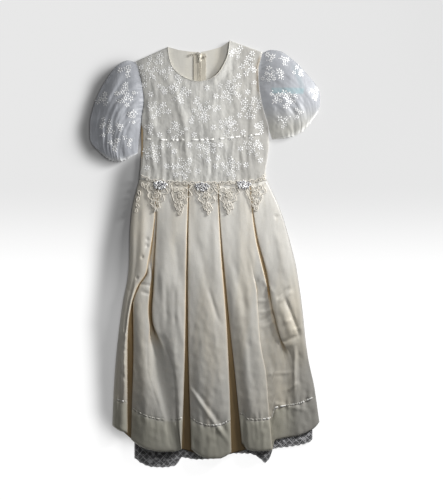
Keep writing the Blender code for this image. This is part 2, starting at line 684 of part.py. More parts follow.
def make_sleeve(name, rings, side, organza, collection):
    around = SLEEVE_TOP_POINTS + 1 + SLEEVE_FLOOR_POINTS
    made = [
        sleeve_ring(rings, side, index, SLEEVE_TOP_POINTS, SLEEVE_FLOOR_POINTS)
        for index in range(len(rings))
    ]
    mesh = grid_mesh(name, around, len(rings) - 1, lambda column, row: made[row][column % around], True)
    shell(name, mesh, PUFF_WALL, -1.0, organza, collection)


def make_skirt(satin, collection):
    rows = [skirt_points(row.v) for row in SKIRT_ROWS]
    mesh = grid_mesh("skirt_front", len(rows[0]) - 1, len(rows) - 1, lambda column, row: rows[row][column])
    shell("skirt_front", mesh, WALL, 0.0, satin, collection)
    plate("skirt_back", skirt_outline(1.0, 6.0, 2 * SEAM_GAP), [], SKIRT_BACK_Z, WALL, satin, collection)


def skirt_outline(inset, hem_rise, waist_drop):
    """The skirt's silhouette, a little inside the front's edges."""
    outline = []
    for row in SKIRT_ROWS:
        x = row.left + inset
        outline.append(Point(x, mix(waist_y(x) - waist_drop, hem_y(x) + hem_rise, row.v)))
    for i in range(1, 16):
        x = mix(SKIRT_ROWS[-1].left, SKIRT_ROWS[-1].right, i / 16)
        outline.append(Point(x, hem_y(x) + hem_rise))
    for row in reversed(SKIRT_ROWS):
        x = row.right - inset
        outline.append(Point(x, mix(waist_y(x) - waist_drop, hem_y(x) + hem_rise, row.v)))
    outline += waist_points(SKIRT_ROWS[0].right - inset, SKIRT_ROWS[0].left + inset, -waist_drop)[1:-1]
    return outline


def petticoat_outline(inset):
    """The petticoat's panel: inside the skirt's sides, down to the seam of its lace."""
    outline = []
    for row in SKIRT_ROWS[:-1]:
        x = row.left + inset
        outline.append(Point(x, mix(waist_y(x) - 2 * SEAM_GAP, hem_y(x), row.v)))
    outline = [point for point in outline if point.y > PETTICOAT_HEM_Y + 20]
    outline += [Point(-175.0, PETTICOAT_HEM_Y + 14.0), Point(-156.0, PETTICOAT_HEM_Y)]
    outline += [Point(140.0, PETTICOAT_HEM_Y), Point(236.0, PETTICOAT_HEM_Y + 12.0 + SEAM_GAP)]
    for row in reversed(SKIRT_ROWS[:-1]):
        x = row.right - inset
        y = mix(waist_y(x) - 2 * SEAM_GAP, hem_y(x), row.v)
        if y > PETTICOAT_HEM_Y + 20:
            outline.append(Point(x, y))
    first = SKIRT_ROWS[0]
    outline += waist_points(first.right - inset, first.left + inset, -2 * SEAM_GAP)[1:-1]
    return outline


def make_petticoat(cotton, lace, collection):
    layers = (
        ("front", PETTICOAT_FRONT_Z, 0.0, 0.0, PETTICOAT_INSET),
        ("back", PETTICOAT_BACK_Z, 3.0, 21.0, PETTICOAT_INSET - 2.0),
    )
    for word, bottom, rise, phase, inset in layers:
        plate(f"petticoat_{word}", petticoat_outline(inset), [], bottom, WALL, cotton, collection)
        left, right = LACE_HEM[0].x + rise, LACE_HEM[-1].x - rise - 8.0
        outline = petticoat_lace_outline(left, right, rise, phase)
        holes = petticoat_lace_holes(left, right, rise, phase)
        plate(f"petticoat_lace_{word}", outline, holes, bottom, WALL, lace, collection)


def make_waist_lace(lace, collection):
    plate("waist_lace", waist_lace_outline(), waist_lace_holes(), WAIST_LACE_Z, WAIST_LACE_THICK, lace, collection)


def make_beads(glass, collection):
    """Three clusters of beads, each one body of beads that run into one another."""
    bottom = WAIST_LACE_Z + WAIST_LACE_THICK + SEAM_GAP
    for spot, word in zip(BEAD_SPOTS, ("left", "middle", "right")):
        bm = bmesh.new()
        for i, bead in enumerate(BEAD_RING):
            lift = 1.2 if i == 0 else 0.15 * (i % 3)
            made = bmesh.ops.create_icosphere(bm, subdivisions=1, radius=(BEAD_R + 0.2 * (i % 2)) * MM)
            bmesh.ops.scale(bm, vec=(1.0, 1.0, BEAD_FLATNESS), verts=made["verts"])
            place = Vector((spot.x + bead.x, spot.y + bead.y, bottom + BEAD_FLATNESS * BEAD_R - 0.55 + lift)) * MM
            bmesh.ops.translate(bm, verts=made["verts"], vec=place)
        mesh = bpy.data.meshes.new(f"bead_cluster_{word}")
        bm.to_mesh(mesh)
        bm.free()
        obj = new_object(f"bead_cluster_{word}", mesh, glass, collection)
        join = obj.modifiers.new("Join", "REMESH")
        join.mode = "VOXEL"
        join.voxel_size = 2.1 * MM


def moved_out(section, distance):
    """A line of (x, z) points moved up and away from the cloth it follows."""
    moved = []
    for i, (x, z) in enumerate(section):
        before = section[max(i - 1, 0)]
        after = section[min(i + 1, len(section) - 1)]
        run = Vector((after[0] - before[0], after[1] - before[1])).normalized()
        moved.append((x - run.y * distance, z + run.x * distance))
    return moved


def ribbon_strip(name, centres, width, finish, collection):
    """A narrow ribbon whose middle runs through the centres, lying on the cloth below."""
    def place(column, row):
        return centres[column] + Vector((0.0, width * (row - 0.5), 0.0))

    mesh = grid_mesh(name, len(centres) - 1, 1, place)
    shell(name, mesh, WALL, 0.0, finish, collection)


def make_ribbons(ribbon, collection):
    lift = 2 * LAYER + 1.3
    line = (
        Point(-131.0, 253.0), Point(-90.0, 251.0), Point(0.0, 251.5),
        Point(60.0, 256.5), Point(82.0, 259.0), Point(122.0, 264.0),
    )
    centres = []
    for i in range(29):
        x = mix(line[0].x, line[-1].x, i / 28)
        y = eased([point.x for point in line], [point.y for point in line], x)
        centres.append(Vector((x, y, bodice_height(x, y) + lift)))
    ribbon_strip("bust_ribbon", centres, RIBBON_WIDTH, ribbon, collection)
    section, tops = skirt_section(HEM_RIBBON_V)
    strips = (
        ("side", [(tops["side"][0] - 1, tops["side"][1])]),
        ("wide", [tops["inner"], tops["wide"]]),
        ("centre", [tops["centre"]]),
        ("right", [tops["right"]]),
        ("far", [(tops["low"][0] + 4, tops["low"][1]), (tops["far"][0], tops["far"][1] + 1)]),
    )
    for word, parts in strips:
        line = [point for first, last in parts for point in section[first : last + 1]]
        centres = []
        for x, z in moved_out(line, LAYER + 0.1):
            y = mix(waist_y(x) - SEAM_GAP, hem_y(x), HEM_RIBBON_V)
            centres.append(Vector((x, y, z)))
        ribbon_strip(f"hem_ribbon_{word}", centres, RIBBON_WIDTH, ribbon, collection)


def clear_scene():
    for obj in list(bpy.data.objects):
        bpy.data.objects.remove(obj, do_unlink=True)


def main():
    clear_scene()
    gown = bpy.data.collections.new("christening_gown")
    bpy.context.scene.collection.children.link(gown)
    satin = material("ivory_satin", (0.78, 0.75, 0.67), 0.38)
    organza = material("flowered_organza", (0.82, 0.82, 0.79), 0.6)
    cotton = material("petticoat_cotton", (0.74, 0.73, 0.70), 0.8)
    lace = material("guipure_lace", (0.76, 0.72, 0.62), 0.75)
    edging = material("petticoat_lace", (0.62, 0.62, 0.64), 0.75)
    ribbon = material("satin_ribbon", (0.88, 0.87, 0.83), 0.25)
    tape = material("zip_tape", (0.78, 0.76, 0.70), 0.8)
    glass = material("clear_beads", (0.85, 0.85, 0.88), 0.08, 0.3)
    make_bodice_front(satin, organza, gown)
    make_bodice_back(satin, organza, tape, gown)
    make_sleeve("sleeve_left", LEFT_SLEEVE, -1, organza, gown)
    make_sleeve("sleeve_right", RIGHT_SLEEVE, 1, organza, gown)
    make_skirt(satin, gown)
    make_petticoat(cotton, edging, gown)
    make_waist_lace(lace, gown)
    make_beads(glass, gown)
    make_ribbons(ribbon, gown)


main()
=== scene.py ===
"""A child's christening gown laid flat: its visible cloth, embroidery, lace and trims.

Every table below is in millimetres on the gown's own frame: X across, Y from the hem (low) to the
neck (high), Z up from the surface that the gown lies on.
"""

import bisect
import math
import random
from collections import namedtuple

import bmesh
import bpy
from bpy.props import FloatProperty, FloatVectorProperty, IntProperty, PointerProperty
from mathutils import Matrix, Vector, noise
from mathutils.kdtree import KDTree


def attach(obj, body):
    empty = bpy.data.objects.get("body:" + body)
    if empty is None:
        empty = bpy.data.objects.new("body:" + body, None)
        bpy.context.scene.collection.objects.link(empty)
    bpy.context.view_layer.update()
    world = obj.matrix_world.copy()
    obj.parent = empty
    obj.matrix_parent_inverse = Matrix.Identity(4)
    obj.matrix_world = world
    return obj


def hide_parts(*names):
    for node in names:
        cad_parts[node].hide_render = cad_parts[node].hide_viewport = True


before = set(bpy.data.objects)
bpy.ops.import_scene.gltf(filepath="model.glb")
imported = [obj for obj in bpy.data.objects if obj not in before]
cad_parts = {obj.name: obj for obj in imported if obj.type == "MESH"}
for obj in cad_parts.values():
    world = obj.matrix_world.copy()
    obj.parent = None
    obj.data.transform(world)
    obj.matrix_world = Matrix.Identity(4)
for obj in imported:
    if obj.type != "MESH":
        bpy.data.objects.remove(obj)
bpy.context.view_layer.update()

bl_info = {
    "name": "Christening Gown",
    "version": (1, 0, 0),
    "blender": (4, 5, 0),
    "location": "3D View > Sidebar > Gown",
    "description": "Makes the cloth, embroidery, lace and trims of a laid christening gown",
    "category": "Object",
}

MM = 0.001

# The cloth's walls, the gap between two layers, and the heights that they stack to
WALL = 1.0
SEAM_GAP = 0.3
LAYER = WALL + SEAM_GAP
BODICE_BACK_Z = LAYER
ZIP_Z = BODICE_BACK_Z + LAYER
PETTICOAT_BACK_Z = LAYER
PETTICOAT_FRONT_Z = PETTICOAT_BACK_Z + LAYER
UNDERLAY_Z = PETTICOAT_FRONT_Z + LAYER + WALL / 2
SKIRT_SIDE_Z = LAYER + WALL / 2
BODICE_SIDE_Z = BODICE_BACK_Z + LAYER + WALL / 2
BODICE_TOP_Z = 4.5

# The waist seam curves up by its rise towards its ends; the zip lies at the centre back
WAIST_Y = 155.0
WAIST_RISE = 8.0
WAIST_HALF = 140.0
CENTRE_BACK_X = -12.0

# How far in from its edge the bodice rounds up, each shoulder's share of its upper edge, the gathers
# above its waist and how loosely the organza lies over the satin
BODICE_ROUND = 16.0
SHOULDER_SHARE = 1 / 6
WAIST_GATHERS = 9
ORGANZA_LOOSE = 0.4

# How far a pleat's cloth runs back under it, the slope of a shallow one, and the skirt's rounded side
TUCK = 12.0
PLEAT_RAMP = 1.8
SIDE_ROUND = 14.0

# The hem band's seam, as a share of the skirt's length, and how much higher it lies at each X
HEM_RIBBON_V = 0.885
SEAM_RISE = (
    (-204, 0), (-156, 0.009), (-66, 0.003), (-40, 0.003), (0, 0.005), (62, 0.01), (82, 0), (120, 0.002),
    (147, 0.005), (152, 0.01), (190, 0.009), (250, 0.009),
)

# The waist lace: its height, its cord above that, and its braid's depth
WAIST_LACE_Z = 9.0
LACE_LIFT = 1.4
WAIST_BRAID = 9.0

Point = namedtuple("Point", "x y")
Side = namedtuple("Side", "y left right")
Crease = namedtuple("Crease", "x0 y0 x1 y1 height width")
Ring = namedtuple("Ring", "inner_x inner_y outer_x outer_y follow bow height")
Drop = namedtuple("Drop", "x length tilt")
Hole = namedtuple("Hole", "x y across down turn")
Spray = namedtuple("Spray", "x y size")


def table(kind, rows):
    """Rows of numbers as named tuples of one kind."""
    return tuple(kind(*row) for row in rows)


FRONT_NECK = table(Point, (
    (-81.4, 456.5), (-80, 439), (-73.8, 416), (-55, 395.3), (-33, 384), (-13.2, 380), (6.6, 384), (26.4, 396),
    (40.7, 416), (50.2, 439), (55, 470),
))
SHOULDER_LEFT = Point(-151.8, 424.6)
SHOULDER_RIGHT = Point(126.5, 444.6)
BODICE_SIDES = table(Side, (
    (444.6, -151.8, 126.5), (424.6, -151.8, 120.5), (410, -147, 117.3), (374, -138.6, 118.4),
    (336, -134.4, 124), (305, -138.6, 132), (276, -140.8, 139.7), (240, -140.8, 140.6), (205, -141.9, 136.6),
    (184, -143, 133.1), (150, -145.5, 136.5),
))

# Drag lines, wrinkles and gathers of the bodice (height below zero is a trough)
BODICE_CREASES = table(Crease, (
    (-84, 400, -48, 300, 2.4, 9), (-48, 300, -36, 205, 2, 8), (-128, 335, -100, 240, 2.2, 8),
    (-122, 300, -116, 190, 1.6, 6), (58, 400, 70, 320, 1.6, 10), (8, 345, 24, 230, 1.4, 12),
    (104, 330, 112, 200, 2.2, 8),
))
BODICE_FINE_CREASES = table(Crease, (
    (-97, 250, -92, 178, 1.1, 3.2), (-75, 236, -72, 172, 1.2, 3.6), (-60, 244, -58, 184, -0.9, 3),
    (-44, 246, -36, 180, 1, 3), (-22, 238, -24, 168, 1.2, 3.4), (-6, 246, -2, 196, 1, 2.8),
    (10, 240, 13, 180, -0.9, 3.2), (27, 248, 24, 172, 1.3, 3.6), (44, 236, 48, 176, 0.9, 3),
    (62, 246, 57, 178, 1.2, 3.2), (80, 240, 84, 186, 1, 3), (97, 250, 96, 180, 1.1, 3.4),
    (-118, 246, -112, 182, 1.2, 3.2), (-70, 380, -60, 340, 0.9, 4), (-40, 372, -36, 350, 0.8, 3),
    (-20, 370, -18, 352, 0.7, 3), (2, 372, 4, 350, 0.8, 3), (20, 382, 26, 358, 0.8, 3.5),
    (-120, 396, -108, 350, 1, 5), (-110, 420, -84, 380, 0.9, 5), (84, 430, 92, 380, 0.9, 5),
    (108, 400, 104, 340, 1, 5), (66, 455, 72, 410, 0.7, 4),
))

SkirtRow = namedtuple(
    "SkirtRow", "v left side_l side_r tuck_l tuck_r b_l b_r c_l c_r low d_l d_r right"
)
SKIRT_ROWS = table(SkirtRow, (
    (0, -145.2, -108.9, -113.9, -107.4, -104.5, -36.8, -35.2, 27.3, 28.8, 68.2, 98.1, 99.8, 136.4),
    (0.12, -161.3, -110.9, -115.9, -109.4, -106, -39, -36.4, 30.4, 32.6, 77, 104.1, 106.9, 166.1),
    (0.22, -166.1, -117.4, -122.4, -114.4, -108.7, -40.5, -37.5, 33.9, 36.9, 88, 112.6, 116.8, 183.3),
    (0.3, -167, -125, -129, -119, -111.3, -41.4, -38.1, 37.2, 41.4, 100, 123.6, 129.4, 194.9),
    (0.34, -168.1, -128.7, -126.6, -117.7, -112.2, -41.8, -38.3, 39.2, 43.6, 104, 129.4, 135.3, 200.2),
    (0.4, -171.6, -147.4, -144.8, -120.6, -113.7, -42.2, -38.3, 42.2, 47.1, 112, 136.4, 141.6, 205.7),
    (0.48, -180.4, -162.4, -158.4, -124.5, -116.8, -42.9, -37.9, 45.8, 51.7, 116.2, 141.9, 148.5, 212.3),
    (0.58, -188.3, -169.4, -157.8, -117, -112, -43.8, -37.4, 49.3, 57.6, 120.1, 154, 160.6, 218.5),
    (0.64, -192, -170.6, -157.6, -111, -106.8, -44.5, -36.8, 50.9, 61.3, 125.6, 165, 171, 221.8),
    (0.72, -196.5, -170.9, -158.4, -104.9, -100.6, -45.8, -35.6, 52.8, 66, 134.2, 177, 181.5, 228.1),
    (0.84, -201.1, -170.9, -160.6, -88, -83.6, -48, -33.2, 55.4, 72.6, 139.9, 181.5, 185.9, 241.1),
    (1, -204.6, -170.7, -162.8, -70.4, -66, -51.7, -30.4, 57.9, 81.4, 148.5, 186, 190.4, 252.3),
))
SkirtHeight = namedtuple("SkirtHeight", "v box inner low far tuck_floor d_floor")
SKIRT_HEIGHTS = table(SkirtHeight, (
    (0, 3.2, 0, 3.2, 3.2, 0, 0), (0.12, 3.5, 0, 3.5, 3.5, 0, 0), (0.22, 5.4, 0, 5.4, 5.2, 0, 0),
    (0.3, 7, 0.6, 7, 6.8, 0, 0), (0.34, 7.6, 3.4, 7.2, 7.4, 0, 0), (0.4, 8.2, 6.4, 4.6, 7.8, 0, 0),
    (0.48, 8.8, 8, 1, 8.2, 0, 0.8), (0.58, 9.2, 8.6, 1, 8, 0, 0.8), (0.64, 9.4, 8.8, 1, 5, 0.8, 0.8),
    (0.72, 9.6, 9, 1, 1.2, 2.6, 0.9), (0.84, 9.6, 9.2, 1.2, 1.4, 6.4, 1.2), (1, 9.2, 9.2, 1.4, 1.8, 9, 1.4),
))
HEM = table(Point, (
    (-204.6, -378), (-187, -389), (-170.7, -394), (-162.8, -409), (-145, -422), (-121, -431), (-96, -435),
    (-70, -435), (-51.7, -430), (-41, -425), (-30.4, -430), (-15, -442), (13, -450), (32, -450), (46, -444.5),
    (57.9, -436), (69, -424), (81.4, -418), (94, -431), (115, -433.5), (148.5, -432), (153, -412),
    (207, -400.6), (230, -391), (243.3, -382), (252.3, -371),
))

# The skirt's creases, troughs and dents
SKIRT_CREASES = table(Crease, (
    (-66, 30, -58, -60, -1.6, 9), (-88, 60, -84, -70, 1.2, 12), (-58, -60, -62, -130, 1, 7),
    (-14, 20, 10, -80, -1.6, 10), (10, -84, 28, -142, -2.2, 4.6), (20, 60, 26, -50, 1.2, 9),
    (118, -58, 131, -38, 1.5, 3), (121, -130, 146, -124, 1.5, 3.2), (122, -148, 146, -134, -1.5, 3),
    (128, -162, 150, -150, 1.2, 3), (-145, -67, -122, -69, -1.8, 2.6), (-138, -84, -123, -88, -1.8, 3),
    (-181, -168, -174, -184, 1.5, 3), (-182, -205, -174, -214, -1.5, 3), (-184, -232, -175, -246, 1.4, 3),
    (-183, -262, -176, -276, -1.4, 3), (-86, -80, -84, -150, -1.6, 5), (-66, -84, -66, -150, -1.2, 4),
    (-60, -130, -48, -200, 1.2, 6), (-96, -40, -92, -92, 1, 6), (-28, -302, 44, -404, 2.2, 4.2),
    (-20, -300, 50, -395, -1.4, 5), (-4, -180, -10, -290, 1, 9), (66, -20, 88, -120, -1.2, 9),
    (92, -60, 104, -190, 1.1, 8), (98, -200, 106, -300, -0.9, 9), (161, -96, 184, -75, -2, 3.4),
    (165, -104, 189, -84, 1.8, 4.2), (179, -104, 205, -172, -3.2, 4.6), (166, -112, 188, -170, 2.2, 9),
    (169, -195, 205, -180, -1.8, 3.4), (172, -206, 202, -194, 1.1, 5), (196, -168, 216, -160, 1.2, 3),
    (176, -150, 190, -146, 1, 3.4), (212, -120, 222, -180, 1.8, 5), (150, -130, 156, -180, -1.4, 5),
    (46, -60, 66, -330, -1.8, 9), (72, -100, 98, -340, 1.6, 10), (0, -40, 14, -300, 1.2, 16),
    (-180, -150, -176, -300, 1.8, 4.5), (-188, -120, -186, -290, -1.5, 4), (-129, 34, -126, 30, -2, 3),
    (-129, 19, -126, 15, -2, 3), (-140, -5, -136, -9, -2, 3), (-151, -51, -147, -55, -2, 3),
    (-173, -75, -169, -80, -2, 3), (154, 80, 160, 84, -2, 3), (16, -352, 20, -300, -1.2, 7),
    (-100, -362, -98, -410, -1.2, 4), (-66, -372, -70, -420, 1, 5), (108, -360, 112, -410, -1.2, 4.5),
    (92, -374, 94, -420, 1, 5), (10, -400, 12, -440, 1, 6), (198, -216, 197, -300, 1.9, 3.6),
    (206, -216, 209, -290, -1.3, 4.5), (140, -265, 186, -262, 1.3, 3), (184, -300, 202, -286, 1.6, 3),
    (116, -104, 142, -103, 1.3, 3.6), (146, -226, 152, -262, -1.3, 5), (214, -130, 222, -230, 1.8, 6),
    (130, -60, 150, -86, 1.2, 5), (160, 40, 176, -40, 1.2, 9), (-136, 96, -140, -20, 1.3, 8),
    (-150, 40, -154, -60, -1.2, 7), (-174, -60, -186, -180, 1, 7), (-100, -150, -92, -260, -1, 10),
    (-140, -150, -136, -300, 1, 10), (-70, -200, -60, -320, 1.1, 9), (20, -170, 34, -290, 1.1, 8),
    (228, -270, 236, -340, 1.2, 7), (150, -330, 220, -344, 1.3, 4), (128, -390, 130, -425, 1, 5),
))

LEFT_SLEEVE = table(Ring, (
    (-142.2, 275, -152.6, 423, 1, 0, 5.6), (-143.2, 269.5, -171, 427, 0.75, 0, 13),
    (-144, 264, -193, 416.5, 0.45, 0, 19), (-144.9, 258.5, -215.6, 388, 0.25, 0, 23),
    (-145.8, 253, -233.2, 357.5, 0.1, 0, 25), (-146.5, 246.5, -246.4, 323.5, 0, 0, 25),
    (-147, 240, -253.9, 289.3, 0, -4, 23), (-147.7, 232.5, -254.3, 260.7, 0, -10, 19.5),
    (-148.4, 226, -248.6, 242, 0, -18, 14.5), (-149.2, 221.5, -241, 233.5, 0, -23, 9),
))
RIGHT_SLEEVE = table(Ring, (
    (141.2, 275, 127.3, 443, 1, 0, 5.6), (142.2, 271.5, 145.2, 450.3, 0.75, 0, 13),
    (143, 268.5, 165, 447.7, 0.45, 0, 19), (143.8, 265.8, 187, 433.8, 0.25, 0, 23),
    (144.6, 263.2, 207.9, 415.8, 0.1, 0, 25), (145.2, 260.8, 227.7, 393.8, 0, 0, 25),
    (145.9, 258.6, 244.9, 372.4, 0, -3, 23), (146.6, 256.4, 253.4, 350.9, 0, -8, 19.5),
    (147.4, 254.4, 253.8, 331.1, 0, -14, 14.5), (148.6, 252.6, 247.5, 310.2, 0, -18, 9),
))
# The sleeves' heights at their ends and under them, the gap at the armhole and the cuff's gathers
SLEEVE_END_Z = 2.4
SLEEVE_FLOOR_Z = 0.35
ARMHOLE_GAP = 1.2
CUFF_GATHERS = 15

LACE_DROPS = table(Drop, (
    (-105, 64, -0.07), (-53, 67, -0.03), (1, 65, 0.11), (51, 64, 0.01), (111, 61, 0.04),
))
DROP_OUTLINE = table(Point, (
    (-19.5, 0), (-17.5, 0.1), (-18.5, 0.24), (-13, 0.36), (-12.5, 0.5), (-8, 0.6), (-8.5, 0.74), (-4, 0.8),
    (-1.5, 1), (2.5, 0.84), (6.5, 0.8), (6, 0.64), (11, 0.54), (11.5, 0.4), (18.5, 0.28), (17, 0.12), (19.5, 0),
))
DROP_HOLES = table(Hole, (
    (-10.5, 0.17, 7, 9, 0.5), (10, 0.17, 7, 9, -0.5), (0, 0.23, 6, 10, 0), (-6, 0.43, 6, 9, -0.4),
    (5, 0.43, 6, 9, 0.4), (-1.5, 0.66, 5, 9, 0),
))
LACE_LEFT, LACE_RIGHT = -141.0, 134.0

# Single loops under the braid and down the left side: x, y, length and turn
LOOSE_LOOPS = (
    (-138, 152, 9, 0.3), (-131, 148, 11, -0.2), (-76, 148, 9, 0.6), (-30, 146, 8, -0.5), (26, 147, 8, 0.4),
    (74, 150, 9, -0.3), (129, 170, 8, 0.5), (-145, 134, 10, 0.2), (-148, 120, 10, -0.4),
    (-149, 106, 9, 0.5), (-152, 95, 8, -0.3),
)
LOOP_WIDTH = 5.5

# How far the braid's two cords lie from its middle, their steps, its loops, the steps of a point's
# rim, and where its flower's heart lies
BRAID_SPREAD = 2.6
BRAID_STEPS = 180
BRAID_LOOPS = 33
RIM_STEPS = 85
HEART_SHARE = 0.34
BEAD_SPOTS = table(Point, (
    (-99, 151.5), (-7, 148), (85, 152.5),
))

# Round sprays of embroidered flowers, then the single flowers between them
BODICE_SPRAYS = table(Spray, (
    (-122, 400, 22), (-108, 432, 17), (-84, 398, 15), (-56, 356, 24), (-107, 318, 22), (-5, 314, 27),
    (54, 361, 26), (97, 416, 21), (70, 444, 15), (97, 322, 24), (50, 279, 24), (-64, 271, 21), (-115, 224, 23),
    (-52, 189, 23), (3, 231, 23), (58, 192, 23), (105, 239, 23), (-124, 276, 13), (120, 278, 13),
    (-96, 366, 10), (114, 372, 12),
))
SINGLE_FLOWERS = table(Point, (
    (-89, 357), (-81, 314), (29, 322), (94, 357), (-17, 341), (19, 279), (23, 193), (-84, 193), (-30, 292),
    (-34, 240), (76, 305), (-80, 240), (34, 240), (-24, 262), (-100, 262), (78, 232), (122, 206), (-128, 190),
    (90, 196), (-16, 182), (24, 348), (-68, 226), (118, 336), (-120, 352), (28, 212), (74, 392), (-62, 390),
    (4, 366), (104, 442), (-134, 372), (-34, 206), (84, 268),
))
SLEEVE_SPRAYS = table(Spray, (
    (-176, 349, 24), (-214, 279, 20), (-224, 338, 16), (-186, 279, 9), (-172, 402, 15), (-200, 240, 13),
    (-160, 300, 14), (-168, 250, 12), (180, 339, 22), (141, 393, 18), (145, 436, 14), (204, 310, 11),
    (207, 404, 15), (240, 352, 13), (152, 345, 12), (170, 290, 14), (176, 428, 11), (166, 396, 9),
))


def smooth(t):
    t = min(max(t, 0.0), 1.0)
    return t * t * (3.0 - 2.0 * t)


def mix(a, b, t):
    return a + (b - a) * t


def bump(off, width):
    """A soft bump: 1 at its middle, about a third one width away."""
    return math.exp(-((off / width) ** 2))


class Curve:
    """A smooth curve through values at rising keys, with no overshoot between them."""

    def __init__(self, keys, values):
        pairs = sorted(zip(keys, values))
        self.keys = [key for key, _ in pairs]
        self.values = [value for _, value in pairs]
        gaps = [b - a for a, b in zip(self.keys[:-1], self.keys[1:])]
        slopes = [(b - a) / gap for a, b, gap in zip(self.values[:-1], self.values[1:], gaps)]
        self.tangents = [slopes[0]]
        for before, after in zip(slopes[:-1], slopes[1:]):
            same_way = before * after > 0
            self.tangents.append(2 * before * after / (before + after) if same_way else 0.0)
        self.tangents.append(slopes[-1])

    def __call__(self, at):
        keys, values, tangents = self.keys, self.values, self.tangents
        at = min(max(at, keys[0]), keys[-1])
        i = min(bisect.bisect_right(keys, at) - 1, len(keys) - 2)
        gap = keys[i + 1] - keys[i]
        t = (at - keys[i]) / gap
        start = (1 + 2 * t) * (1 - t) ** 2 * values[i] + t * (1 - t) ** 2 * gap * tangents[i]
        end = t * t * (3 - 2 * t) * values[i + 1] + t * t * (t - 1) * gap * tangents[i + 1]
        return start + end


def columns_of(rows, key=None):
    """A smooth curve for every column of a table, over its key column or else its row numbers."""
    keys = [getattr(row, key) for row in rows] if key else range(len(rows))
    return {
        name: Curve(keys, [getattr(row, name) for row in rows])
        for name in rows[0]._fields
        if name != key
    }


def arc_curves(points):
    """X and Y of a smooth line through points, over its length from 0 to 1."""
    lengths = [0.0]
    for a, b in zip(points[:-1], points[1:]):
        lengths.append(lengths[-1] + math.hypot(b.x - a.x, b.y - a.y))
    shares = [length / lengths[-1] for length in lengths]
    return Curve(shares, [p.x for p in points]), Curve(shares, [p.y for p in points])


SIDES = columns_of(BODICE_SIDES, "y")
ROWS = columns_of(SKIRT_ROWS, "v")
HEIGHTS = columns_of(SKIRT_HEIGHTS, "v")
NECK_X, NECK_Y = arc_curves(FRONT_NECK)
HEM_LINE = Curve(*zip(*HEM))
SEAM_LINE = Curve(*zip(*SEAM_RISE))


def crease_height(creases, x, y):
    """The height that soft creases along straight lines add at a place."""
    total = 0.0
    for crease in creases:
        run_x, run_y = crease.x1 - crease.x0, crease.y1 - crease.y0
        here_x, here_y = x - crease.x0, y - crease.y0
        length = math.hypot(run_x, run_y)
        off = abs(here_x * run_y - here_y * run_x) / length
        if off > 3 * crease.width:
            continue
        share = (here_x * run_x + here_y * run_y) / length**2
        if not -0.3 < share < 1.3:
            continue
        fade = smooth((share + 0.25) / 0.4) * smooth((1.25 - share) / 0.4)
        total += crease.height * fade * bump(off, crease.width)
    return total


def ripple(x, y, size, seed=0.0):
    """Soft unevenness of about one unit, over patches of a given size."""
    return noise.noise(Vector((x / size, y / size, seed)))


def waist_y(x):
    return WAIST_Y + WAIST_RISE * (x / WAIST_HALF) ** 2


# Bodice

def shoulder_clearance(x, y):
    """How far a place lies below both shoulder seams, each carried on past the neck."""
    left = (x - SHOULDER_LEFT.x) / (FRONT_NECK[0].x - SHOULDER_LEFT.x)
    right = (x - SHOULDER_RIGHT.x) / (FRONT_NECK[-1].x - SHOULDER_RIGHT.x)
    left_y = mix(SHOULDER_LEFT.y, FRONT_NECK[0].y, left)
    right_y = mix(SHOULDER_RIGHT.y, FRONT_NECK[-1].y, right)
    return min(left_y, right_y) - y


def bodice_height(x, y):
    """The middle of the bodice front's satin above the floor."""
    inside = min(x - SIDES["left"](y), SIDES["right"](y) - x, shoulder_clearance(x, y))
    round_off = math.sqrt(smooth(inside / BODICE_ROUND))
    low = smooth((y - waist_y(x)) / 20.0)
    folds = 0.7 * crease_height(BODICE_CREASES, x, y) * low
    gather = 0.5 + 0.5 * math.cos(2 * math.pi * WAIST_GATHERS * x / (2 * WAIST_HALF) + 0.6 * math.sin(x / 31.0))
    folds += 0.5 * gather * smooth(1.0 - (y - waist_y(x)) / 62.0)
    folds += 0.6 * crease_height(BODICE_FINE_CREASES, x, y)
    near_waist = smooth(1.0 - (y - waist_y(x)) / 26.0)
    folds += 0.35 * near_waist * math.sin(x / 1.9 + 1.4 * math.sin(x / 9.0))
    near_ribbon = bump(y - BUST(x), 7.0)
    folds += 0.3 * near_ribbon * math.sin(x / 2.3 + math.sin(x / 7.0))
    folds += 0.6 * ripple(x, y * 0.6, 16.0, 3.0) + 0.3 * ripple(x + y * 0.4, y, 6.5, 4.0)
    from_neck = (math.hypot((x + 13.0) / 66.0, (y - 450.0) / 70.0) - 1.0) * 66.0
    folds += 3.6 * bump(from_neck, 10.0) * smooth((x - 4.0) / 30.0)
    return mix(BODICE_SIDE_Z, BODICE_TOP_Z, round_off) + folds * round_off


BUST_LINE = table(Point, (
    (-131, 253), (-90, 251), (0, 251.5), (60, 256.5), (82, 259), (122, 264),
))
BUST = Curve(*zip(*BUST_LINE))

# Where the bust ribbon shows between its slits and the embroidery, as starts and ends along X
BUST_STITCHES = (
    (-128, -119), (-99.5, -84), (-74, -68.5), (-66, -58.5), (-52, -46), (-29.5, -14.5), (-12, -3), (-1, 6.5),
    (9, 19.5), (31, 42.5), (48.5, 63), (65.5, 77), (84, 89), (99, 104), (108, 120),
)


def bodice_top(u):
    """The front's upper edge, from shoulder tip to shoulder tip round the neck."""
    if u < SHOULDER_SHARE:
        t = u / SHOULDER_SHARE
        return Point(mix(SHOULDER_LEFT.x, FRONT_NECK[0].x, t), mix(SHOULDER_LEFT.y, FRONT_NECK[0].y, t))
    if u > 1 - SHOULDER_SHARE:
        t = (1 - u) / SHOULDER_SHARE
        return Point(mix(SHOULDER_RIGHT.x, FRONT_NECK[-1].x, t), mix(SHOULDER_RIGHT.y, FRONT_NECK[-1].y, t))
    share = (u - SHOULDER_SHARE) / (1 - 2 * SHOULDER_SHARE)
    return Point(NECK_X(share), NECK_Y(share))


